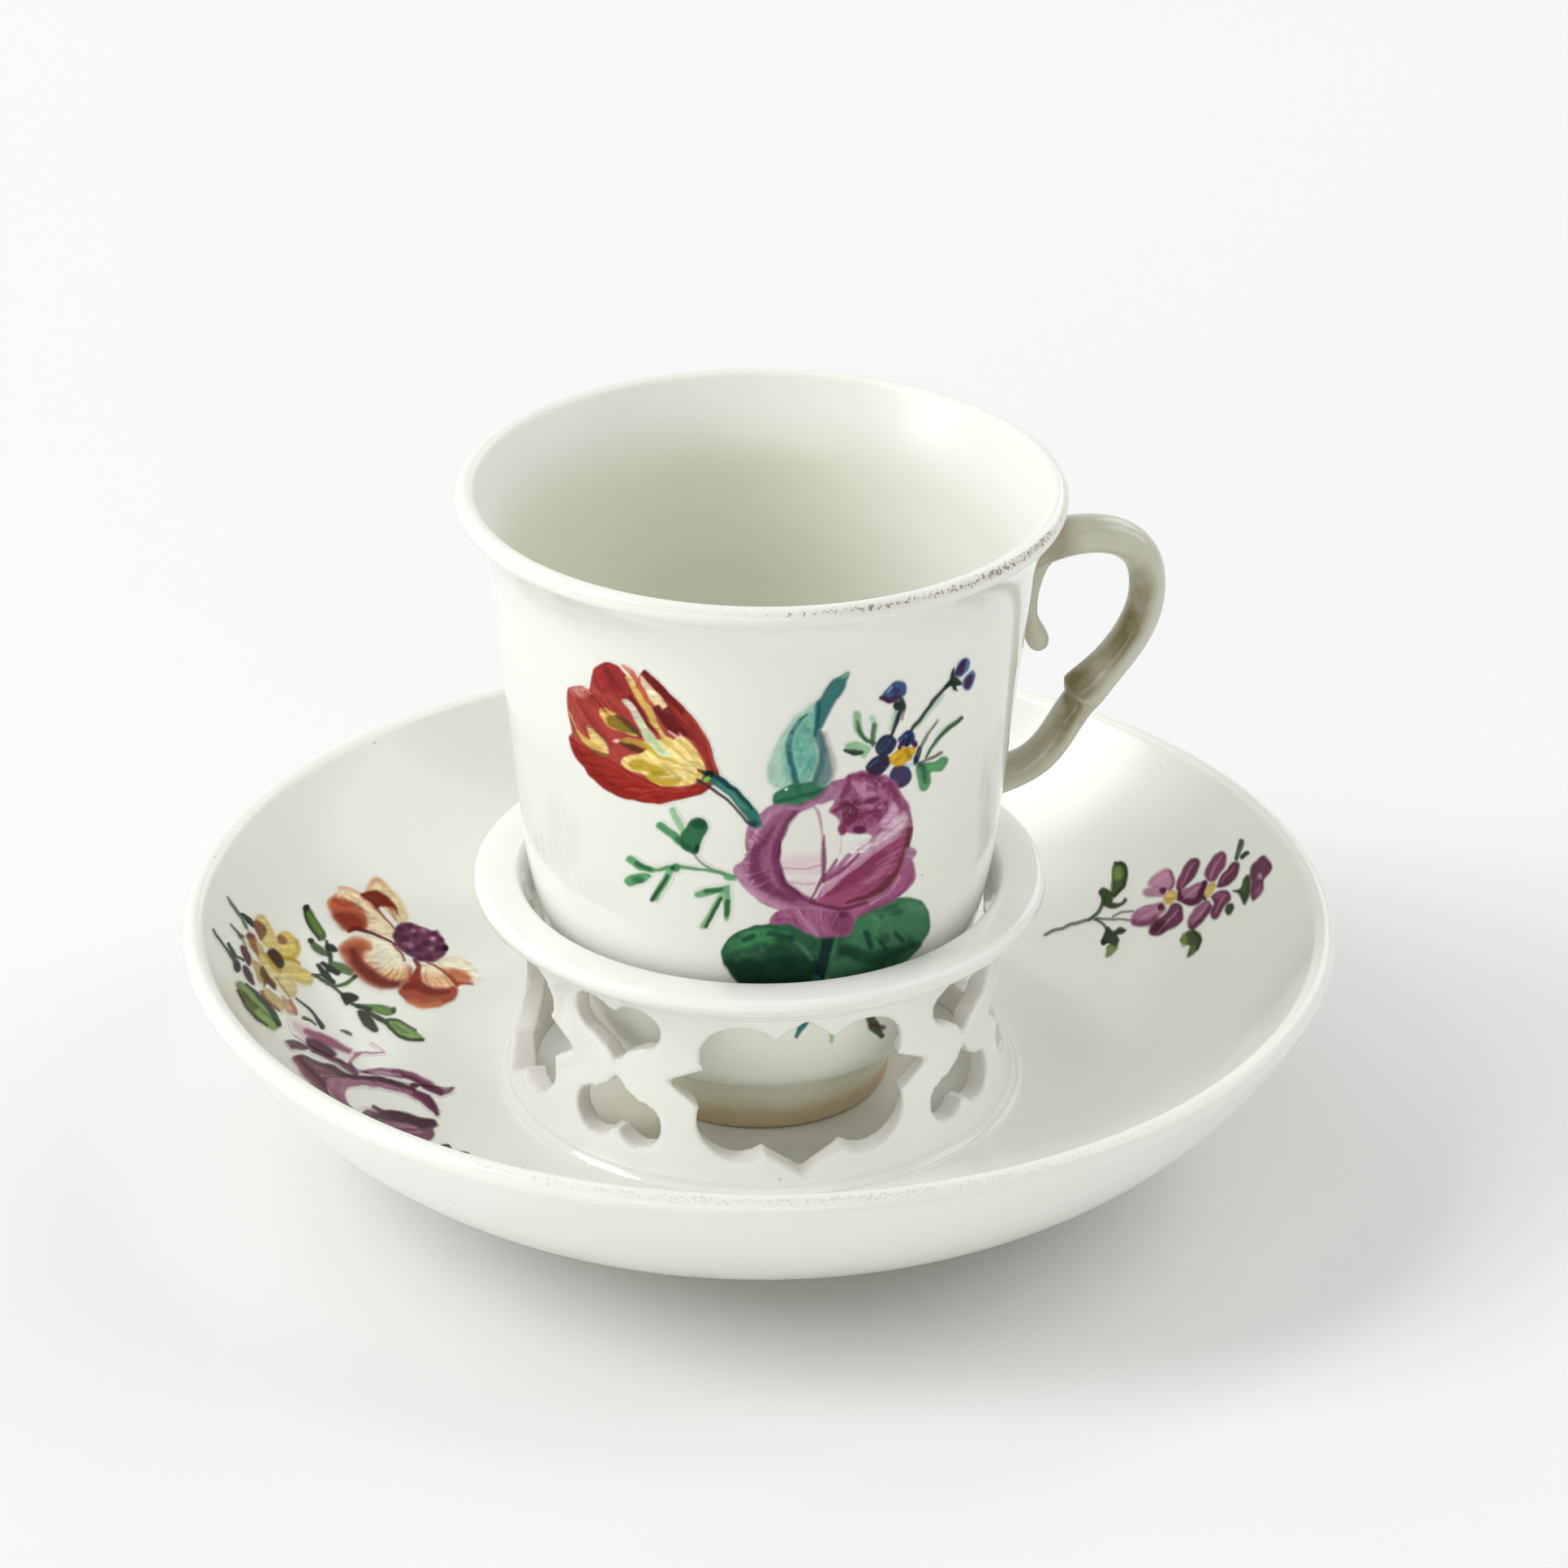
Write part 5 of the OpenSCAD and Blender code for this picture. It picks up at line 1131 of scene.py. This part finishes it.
def paint_blue_flower(s):
    s.brush("#7FB183", "1056,881 1057,895 1062,907 1074,913", (9, 9, 7, 3), 0.74, 2)
    s.brush("#375741", "1056,889 1059,902 1067,911 1077,915", (2, 5, 5, 3), 0.78)
    s.brush("#9CC39C", "1075,884 1078,895 1077,909", (6, 7, 4), 0.66, 2)
    s.brush("#46664C", "1077,893 1076,905 1075,918", (5, 5, 3), 0.74)
    s.petal("#8DBB8D", "1042,918 1052,914 1068,917 1073,922 1068,930 1064,935 1055,928 1045,926", 0.74, 2.2)
    s.brush("#2B3B31", "1042,925 1050,927 1061,927", (4, 7, 4), 0.86)
    s.brush("#7FA98A", "1098,897 1103,882 1104,867", 5, 0.45, 2.4)
    s.brush("#2C383B", "1098,908 1101,900 1105,890 1109,878 1112,868 1109,859", (3, 4, 5, 6, 7, 5), 0.88)
    s.brush("#5A3A3A", "1112,886 1115,871 1113,860", 2, 0.65)
    s.dab("#283633", 1105, 869, 5, 6, 0.88)
    s.petal("#3A5888", "1087,858 1092,850 1098,843 1106,839 1114,841 1117,848 1115,856 1108,859 1100,861 "
            "1094,865 1088,863", 0.92, 1.8, -40)
    s.brush("#552745", "1087,861 1095,863 1104,860", 6, 0.9)
    s.dab("#463658", 1103, 851, 6, 5, 0.62, 2.4)
    s.brush("#B9CCE2", "1094,853 1099,846", 2.5, 0.65)
    s.brush("#8DB39A", "1128,896 1145,876 1161,857", 6, 0.42, 2.4)
    s.brush("#30413B", "1119,906 1124,898 1132,888 1142,874 1153,860 1163,849 "
            "1173,840", (3, 4, 4, 4, 4, 4, 6), 0.9)
    s.petal("#23342C", "1163,849 1170,838 1173,828 1176,822 1178,832 1183,838 1185,844 1178,846 1180,852 "
            "1175,850 1172,845", 0.92, 1.6)
    s.petal("#4A70A0", "1177,831 1178,824 1183,815 1190,810 1196,814 1195,821 1190,828 1183,834", 0.88, 1.8)
    s.petal("#481F3E", "1178,830 1181,822 1187,813 1191,813 1190,820 1184,831", 0.86, 1.8)
    s.petal("#547AA6", "1185,846 1186,838 1192,830 1198,826 1202,832 1200,842 1196,849 1190,851", 0.84, 1.8)
    s.petal("#481F3E", "1188,847 1189,839 1194,832 1198,832 1198,842 1193,848", 0.82, 1.8)
    s.petal("#24334E", "1078,921 1081,912 1088,906 1097,905 1104,911 1104,918 1098,927 1090,932 "
            "1082,931", 0.94, 1.8, -40, 0.3)
    s.brush("#5F84B5", "1084,926 1093,918 1098,911", 3, 0.3, 2)
    s.petal("#2C2C48", "1067,949 1070,940 1077,934 1086,931 1095,932 1097,940 1092,949 1084,956 "
            "1074,957", 0.93, 1.8, -20, 0.3)
    s.brush("#4A2A44", "1074,950 1084,944 1092,938", 6, 0.5, 2.4)
    s.brush("#5A7AAC", "1071,945 1080,938", 3, 0.5, 2)
    s.petal("#3A3C62", "1096,956 1100,946 1108,941 1117,944 1122,953 1121,963 1113,970 1104,970 "
            "1097,964", 0.93, 1.8, 60, 0.3)
    s.brush("#6A3A58", "1106,948 1110,958 1110,967", 7, 0.45, 2.4)
    s.petal("#223C6A", "1106,911 1112,904 1119,899 1126,904 1127,912 1120,918 1112,919", 0.93, 1.8)
    s.brush("#7FA3CC", "1108,914 1115,908", 4, 0.55, 2)
    s.petal("#384466", "1125,941 1128,930 1131,920 1135,919 1134,930 1131,939 1127,942", 0.92, 1.6)
    s.dab("#A9BFD6", 1119, 942, 6, 3, 0.45, 2)
    s.petal("#DCAE30", "1096,933 1102,927 1108,923 1116,920 1126,921 1129,926 1124,932 1118,938 1111,943 "
            "1103,944 1097,940", 0.98, 1.6)
    s.brush("#9A7A1E", "1117,926 1122,933", 6, 0.65, 2)
    s.brush("#B0821E", "1103,939 1112,930", 3, 0.5)
    s.brush("#462744", "1108,922 1112,914 1114,909", (5, 4, 2), 0.9)
    s.brush("#1B2642", "1117,918 1122,908", (4, 3), 0.9)
    s.dab("#552743", 1127, 916, 3.5, 4.5, 0.88)
    s.brush("#242D46", "1129,937 1133,923", 4, 0.8)
    s.brush("#6A7A5A", "1131,930 1137,915 1146,900 1153,890", (3, 4, 3, 2), 0.74)
    s.brush("#A07A88", "1150,895 1155,887", 3, 0.62)
    s.brush("#8DB884", "1141,933 1152,915 1165,900 1184,884", (3, 6, 7, 3), 0.66, 2)
    s.brush("#3B473B", "1141,933 1152,914 1166,900 1185,884", (2, 3, 4, 4), 0.78)
    s.petal("#5C9C66", "1129,941 1140,940 1152,938 1160,933 1168,934 1166,942 1159,950 1148,951 1147,962 "
            "1141,974 1135,973 1131,960 1128,948", 0.88, 2)
    s.brush("#2C5745", "1134,942 1139,950 1140,963", (8, 7, 3), 0.64, 2.4)
    s.brush("#6A5A5E", "1132,941 1145,935 1159,928", (2, 4, 4), 0.74)


def paint_twigs(s):
    s.brush("#7F9A78", "906,1084 890,1077 875,1070 862,1060 853,1051", (3, 4, 4, 3, 3), 0.78)
    s.brush("#8DBB90", "842,1027 836,1012 829,998", (8, 9, 7), 0.78, 2)
    s.brush("#4F9463", "847,1044 830,1030 814,1017", (8, 10, 9), 0.88, 2)
    s.petal("#34704C", "854,1053 841,1044 838,1030 845,1020 850,1012 857,1008 866,1009 872,1018 867,1030 "
            "862,1042 858,1050", 0.92, 2, -70)
    s.brush("#2A563A", "858,1050 845,1042 834,1034", (5, 6, 4), 0.64, 2.4)
    s.dab("#1E5134", 861, 1016, 8, 6, 0.7, 2.6)
    s.dab("#1C3A26", 859, 1046, 3, 5, 0.82, 2)
    s.brush("#5E9468", "906,1080 880,1074 860,1071 840,1069 825,1069 812,1072 "
            "802,1071", (4, 4, 4, 5, 6, 4, 3), 0.84)
    s.brush("#5FA06C", "776,1058 788,1067 804,1072", (8, 10, 5), 0.88, 2)
    s.brush("#2D573E", "784,1064 801,1071", 5, 0.74, 2)
    s.petal("#5FA56E", "769,1084 774,1079 785,1076 798,1076 802,1079 795,1085 785,1090 775,1092", 0.92, 2)
    s.dab("#2D6642", 786, 1084, 7, 4, 0.64, 2.4)
    s.brush("#6FA878", "825,1074 818,1088 807,1106", (8, 11, 9), 0.84, 2)
    s.brush("#2C4731", "822,1080 814,1094 803,1109", (4, 5, 4), 0.82)
    s.dab("#468656", 832, 1070, 6, 5, 0.82, 2)
    s.dab("#1C3726", 828, 1070, 2.4, 2, 0.85)
    s.dab("#6FA878", 899, 1081, 6, 4, 0.82, 2)
    s.brush("#6FA878", "898,1092 885,1097 870,1099 858,1103", (3, 8, 9, 6), 0.88, 2)
    s.brush("#2D5B3D", "891,1097 869,1098", 5, 0.74, 2)
    s.brush("#7FB184", "896,1095 888,1105 880,1120 867,1141", (5, 8, 9, 8), 0.84, 2)
    s.brush("#2C4731", "888,1108 880,1122 870,1142", (4, 5, 4), 0.82)
    s.brush("#6FA878", "897,1095 896,1110 895,1131", (4, 9, 6), 0.84, 2)
    s.brush("#2A573B", "897,1112 895,1127", 6, 0.74, 2)


def paint_low_leaves(s):
    s.petal("#2B5E40", "889,1176 891,1168 898,1157 908,1149 925,1142 945,1138 962,1135 980,1132 998,1138 "
            "1014,1146 1014,1185 1008,1206 990,1222 955,1228 925,1222 905,1206 893,1188", 0.96, 1.8, 20, 0.3)
    s.petal("#549A66", "895,1165 910,1152 935,1143 960,1142 966,1150 940,1160 915,1168 "
            "900,1175", 0.74, 4, 10, 0.35)
    s.petal("#1D382A", "893,1186 920,1184 960,1180 1000,1178 1006,1204 960,1226 920,1218", 0.78, 5, 0, 0.3)
    s.blot("#16302A", "893,1178 900,1158 925,1144 962,1141 1000,1158 1010,1180 1000,1204 960,1222 "
           "915,1206", 0.4, 17, 0.36)
    s.blot("#5FA272", "893,1176 902,1156 928,1143 964,1141 985,1152 960,1168 920,1180", 0.34, 10, 0.3)
    s.brush("#1D3E33", "917,1158 929,1153", 6, 0.78, 2)
    s.brush("#25423B", "947,1150 960,1152 977,1158", 6, 0.74, 2.4)
    s.brush("#7FA08C", "978,1160 992,1170 1000,1182", (3, 6, 4), 0.45, 3)
    s.petal("#3F7854", "1012,1146 1025,1140 1042,1139 1052,1130 1064,1120 1076,1114 1095,1109 1110,1106 "
            "1122,1106 1135,1110 1143,1122 1146,1138 1143,1150 1133,1166 1118,1182 1095,1196 1065,1206 "
            "1035,1210 1012,1206", 0.96, 1.8, -20, 0.3)
    s.petal("#5E9270", "1070,1129 1095,1116 1122,1108 1139,1116 1139,1126 1110,1128 "
            "1085,1136", 0.66, 4, -15, 0.35)
    s.brush("#1B382A", "1038,1170 1080,1180 1128,1163", (12, 18, 8), 0.6, 5)
    s.blot("#16302A", "1016,1162 1050,1150 1075,1126 1122,1108 1144,1130 1130,1166 1090,1196 "
           "1030,1206", 0.36, 17, 0.36)
    s.blot("#6AA27C", "1060,1140 1080,1122 1124,1108 1142,1126 1120,1146 1080,1156", 0.34, 10, 0.3)
    s.brush("#1B2A30", "1020,1154 1016,1175 1008,1206", (16, 13, 14), 0.88, 2.4)
    s.brush("#1B3A36", "1067,1149 1073,1166", 7, 0.74, 2)
    s.brush("#1B3A36", "1085,1160 1093,1171", 5, 0.74, 2)
    s.brush("#1B3E2E", "1104,1151 1113,1159", 5, 0.74, 2)
    s.brush("#4E8462", "1050,1160 1062,1146 1080,1136", (3, 5, 3), 0.5, 3)
    s.brush("#2F7A76", "1006,1206 1000,1232 991,1258 982,1276", (10, 10, 11, 4), 0.9, 2)
    s.brush("#184A48", "1000,1230 990,1262", (3, 3), 0.7, 2)
    s.brush("#7FAE72", "1020,1204 1026,1240 1024,1284", (5, 6, 3), 0.7, 2)
    s.brush("#46523A", "1056,1206 1066,1240 1076,1262 1086,1276", (6, 8, 14, 6), 0.85, 2)
    s.brush("#5A3A34", "1072,1262 1088,1266", (4, 6), 0.7, 2)


def paint_rose_and_leaves(s):
    paint_teal_leaf(s)
    paint_low_leaves(s)
    paint_blue_flower(s)
    paint_rose(s)


def paint_tulip_over_rose(s):
    paint_rose(s)
    paint_tulip(s)


def paint_twigs_over_rose(s):
    paint_tulip_over_rose(s)
    paint_twigs(s)


cup_face = np.concatenate([cup_belly[12:], cup_wall[1:], cup_flare[1:20]])
enamel_film("cup_tulip", cup_face, 1, 0.045, (690, 805, 945, 1028), paint_tulip_over_rose, "cup")
enamel_film("cup_rose", cup_face, 1, 0.03, (880, 800, 1215, 1300), paint_rose_and_leaves, "cup")
enamel_film("cup_twigs", cup_face, 1, 0.06, (760, 990, 912, 1150), paint_twigs_over_rose, "cup")


# Cup foot ring: the turned ring under the cup. Seen through the gallery's windows, it is thinly glazed above
# and wiped to a dry olive and pinkish buff where it stands in the saucer.
cup_foot_line = even_line(np.concatenate([
    bow_line((16.2, 7.2), (16.7, 7.9), (17.0, 11.4), (17.25, 14.3), 16),
    [(12.0, 14.3), (12.6, 7.9), (13.2, 7.25), (13.8, 7.2), (16.2, 7.2)]]), 0.2)
cup_foot = turn_on_wheel("cup_foot_ring_clay", cup_foot_line, 160)
bare_clay("foot_clay_cup", 0.0098, 0.0128).wear(cup_foot)
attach(cup_foot, "cup")
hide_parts("cup_foot_ring")


# Handle: two hand-modelled scrolls of clay luted to the cup's wall, a round bow above whose end rolls over
# the start of a shorter tail below. The section is an oval with a soft ridge along its back.
def roll_clay(name, path, thick, wide, ridge=0.0, ring=40):
    """A rolled strip of clay along a side-view path, one oval ring for each place of the path."""
    path, thick, wide = (np.asarray(v, float) * MM for v in (path, thick, wide))
    along = np.gradient(path, axis=0)
    along /= np.hypot(*along.T)[:, None]
    turn = np.linspace(0, 2 * math.pi, ring, endpoint=False)
    flat = np.sign(np.cos(turn)) * np.abs(np.cos(turn)) ** 0.9 * (1 + ridge * np.exp(-(turn - math.pi) ** 2 / 0.18))
    side = np.sign(np.sin(turn)) * np.abs(np.sin(turn)) ** 0.9
    bpy.ops.object.select_all(action="DESELECT")
    bpy.ops.mesh.primitive_circle_add(vertices=ring, radius=0.001, fill_type="NGON")
    strip = bpy.context.object
    strip.name = name
    bpy.ops.object.mode_set(mode="EDIT")
    bpy.ops.mesh.select_all(action="SELECT")
    for i in range(len(path)):
        if i:
            bpy.ops.mesh.extrude_region_move()
        clay = bmesh.from_edit_mesh(strip.data)
        ends = [v for v in clay.verts if v.select]
        if i:
            seats = {}
            for v in ends:
                under = [e.other_vert(v) for e in v.link_edges if not e.other_vert(v).select]
                seats[v] = before[under[0]]
        else:
            ends.sort(key=lambda v: math.atan2(v.co.y, v.co.x) % (2 * math.pi))
            seats = {v: k for k, v in enumerate(ends)}
        for v, k in seats.items():
            out = flat[k] * thick[i]
            v.co = (path[i][0] - along[i][1] * out, side[k] * wide[i], path[i][1] + along[i][0] * out)
        before = seats
        bmesh.update_edit_mesh(strip.data)
    bpy.ops.mesh.select_all(action="SELECT")
    bpy.ops.mesh.normals_make_consistent(inside=False)
    bpy.ops.object.mode_set(mode="OBJECT")
    bpy.ops.object.shade_smooth()
    return strip


bow_path = np.concatenate([
    bow_line((32.36, 76.8), (38.4, 79.4), (48.9, 80.6), (48.9, 71.0), 30),
    bow_line((48.9, 71.0), (48.9, 65.0), (44.5, 60.6), (39.6, 55.6), 26)[1:]])
u = np.linspace(0, 1, len(bow_path))
closing = np.sqrt(np.clip((1.0 - u) / 0.035, 0.05, 1))
bow_thick = (2.15 + 0.85 * np.exp(-u / 0.12) + 0.55 * bell(u, 0.97, 0.09)) * closing
bow_wide = (2.8 + 0.5 * np.exp(-u / 0.1) + 0.3 * bell(u, 0.97, 0.08)) * closing
bow = roll_clay("handle_bow", bow_path, bow_thick, bow_wide, ridge=0.10)
tail_path = np.concatenate([
    bow_line((43.2, 59.4), (42.2, 58.1), (41.3, 56.7), (40.25, 55.15), 8),
    bow_line((40.25, 55.15), (37.7, 51.6), (36.5, 46.4), (29.25, 46.2), 30)[1:]])
u = np.linspace(0, 1, len(tail_path))
swell = np.clip((u - 0.72) / 0.28, 0, 1) ** 3
tail = roll_clay("handle_tail", tail_path, 2.05 + 0.65 * swell, 2.65 + 0.5 * swell, ridge=0.10)
bpy.ops.object.select_all(action="DESELECT")
tail.select_set(True)
bow.select_set(True)
bpy.context.view_layer.objects.active = bow
bpy.ops.object.join()
handle = bow
handle.name = "cup_handle_porcelain"
even_skin(handle, 0.17, 26)
co = points_of(handle) / MM
# Painted shade mixed with the glaze's own olive-brown staining: darker on the inner side of the loop, in the knuckle
# where the bow rolls over the tail, and at the upper root by the wall, where the cup and the loop keep the light off.
EYE_X, EYE_Z = 40.5, 66.5
low = soft_step(60 - co[:, 2], 0, 8)
outward = co - np.stack([EYE_X - 12 * low, 0 * low, EYE_Z - 6 * low], 1)
outward /= np.linalg.norm(outward, axis=1)[:, None]
facing_out = np.sum(points_of(handle, "normal") * outward, axis=1)
inner = soft_step(-facing_out, -0.6, 0.0) * (1 - 0.45 * soft_step(-facing_out, 0.7, 1.0))
knuckle = 0.75 * np.exp(-((co[:, 0] - 39.4) ** 2 + (co[:, 2] - 55.6) ** 2) / 2.2 ** 2)
inner = np.maximum(inner, knuckle) * soft_step(78.5 - co[:, 2], 0, 9) * (1 - 0.5 * soft_step(54 - co[:, 2], 0, 6))
root = 0.7 * soft_step(40.5 - co[:, 0], 0, 4) * (co[:, 2] > 70)
note_on_points(handle, "stain_and_shade", np.maximum(inner, root))
# The handle's glaze is set darker and more olive than the cup's: partly the handle's own olive glaze, partly painted
# shade for its place in the cup's shadow.
glaze("glazed_porcelain_handle", stain_and_shade_tint="#76693F", light="#DADBCE", deep="#BDBAA2", cloud=150,
      patch=(210, 0.45)).wear(handle)
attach(handle, "cup")
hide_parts("cup_handle")


# Handle spur: a thin tongue of clay pressed along the wall below the bow's root.
# It ends in a drop-shaped bud that curls away from the wall.
spur_path = bow_line((34.85, 75.7), (33.45, 71.4), (33.5, 67.6), (35.65, 63.2), 48)
u = np.linspace(0, 1, len(spur_path))
spur_half = np.where(u < 0.6, 1.75 - 0.9 * np.sqrt(u / 0.6), 0.85 + 0.6 * soft_step(u, 0.6, 0.86))
spur_half = spur_half * np.sqrt(np.clip(1 - np.clip((u - 0.88) / 0.12, 0, 1) ** 2, 0.02, 1))
spur = roll_clay("handle_spur_porcelain", spur_path, spur_half, spur_half, ring=28)
even_skin(spur, 0.12, 4)
glaze("glazed_porcelain_spur", light="#D2D1BE", deep="#C2BFA8").wear(spur)
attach(spur, "cup")
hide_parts("handle_spur")


# Stage: a plain pale table top under the object, a tall window to the left and weaker light from the other sides.
# Far from the object the table fades into a paler room, so that no horizon shows from low down.
PALE = tint("#F4F4F3")


def seen_straight_or_in_gloss(finish):
    ray = finish.add("LightPath").outputs
    seen = finish.math("MAXIMUM", ray["Is Camera Ray"], ray["Is Glossy Ray"])
    return finish.math("MAXIMUM", seen, ray["Is Transmission Ray"])


bpy.ops.object.select_all(action="DESELECT")
bpy.ops.mesh.primitive_plane_add(size=30, location=(0, 0, 0))
table = bpy.context.object
table.name = "table_top"
pale = Finish("pale_table")
pale.put(pale.surface.inputs["Base Color"], pale.mix(pale.noise(3, 2), tint("#F0F0F0"), tint("#F2F2F2")))
pale.surface.inputs["Roughness"].default_value = 0.9
pale.surface.inputs["Specular IOR Level"].default_value = 0.1
far_off = pale.ramp(pale.add("VectorMath", {"operation": "LENGTH"}, i0=pale.place).outputs["Value"], 0.9, 2.4)
backdrop = pale.add("Emission", Color=PALE)
blend = pale.add("MixShader", i0=pale.math("MULTIPLY", far_off, seen_straight_or_in_gloss(pale)),
                 i1=pale.surface.outputs[0], i2=backdrop.outputs[0])
pale.put(pale.nodes["Material Output"].inputs["Surface"], blend.outputs[0])
pale.wear(table)

room = Finish("room_fill", "worlds")
bpy.context.scene.world = room.made
height = room.add("SeparateXYZ", Vector=room.place.node.outputs["Generated"]).outputs["Z"]
fill = room.nodes["Background"]
room.put(fill.inputs["Strength"], room.add("MapRange", Value=height, i3=0.43, i4=0.36).outputs[0])
fill.inputs["Color"].default_value = (1.0, 1.0, 0.955, 1)
skyline = room.math("MULTIPLY", seen_straight_or_in_gloss(room), room.ramp(height, 0.3, 0.6, 1.0, 0.0))
wall = room.add("Background", Color=PALE)
blend = room.add("MixShader", i0=skyline, i1=fill.outputs[0], i2=wall.outputs[0])
room.put(room.nodes["World Output"].inputs["Surface"], blend.outputs[0])

LAMP_AWAY = 3.5


def soft_box(name, turn, lift, size, watts):
    """A large flat light that faces the object; turn and lift are degrees from +X and from the table."""
    lamp = bpy.data.lights.new(name, "AREA")
    lamp.shape = "RECTANGLE"
    lamp.size, lamp.size_y = size
    lamp.energy = watts
    lamp.color = (0.98, 0.985, 1.0)
    made = bpy.data.objects.new(name, lamp)
    bpy.context.scene.collection.objects.link(made)
    a, e = math.radians(turn), math.radians(lift)
    towards = np.array([math.cos(a) * math.cos(e), math.sin(a) * math.cos(e), math.sin(e)])
    made.location = LAMP_AWAY * towards
    made.rotation_euler = (-made.location).to_track_quat("-Z", "Y").to_euler()


soft_box("window_left", 181, 38, (1.3, 2.7), 68.0)
soft_box("wall_behind", 122, 48, (2.8, 2.6), 24.0)
soft_box("wall_behind_right", 50, 30, (1.7, 1.7), 14.0)
soft_box("wall_right", 2, 42, (2.0, 2.6), 29.0)
soft_box("card_in_front", -110, 13, (3.0, 1.3), 19.0)
soft_box("ceiling_in_front", -100, 70, (2.2, 2.2), 6.0)
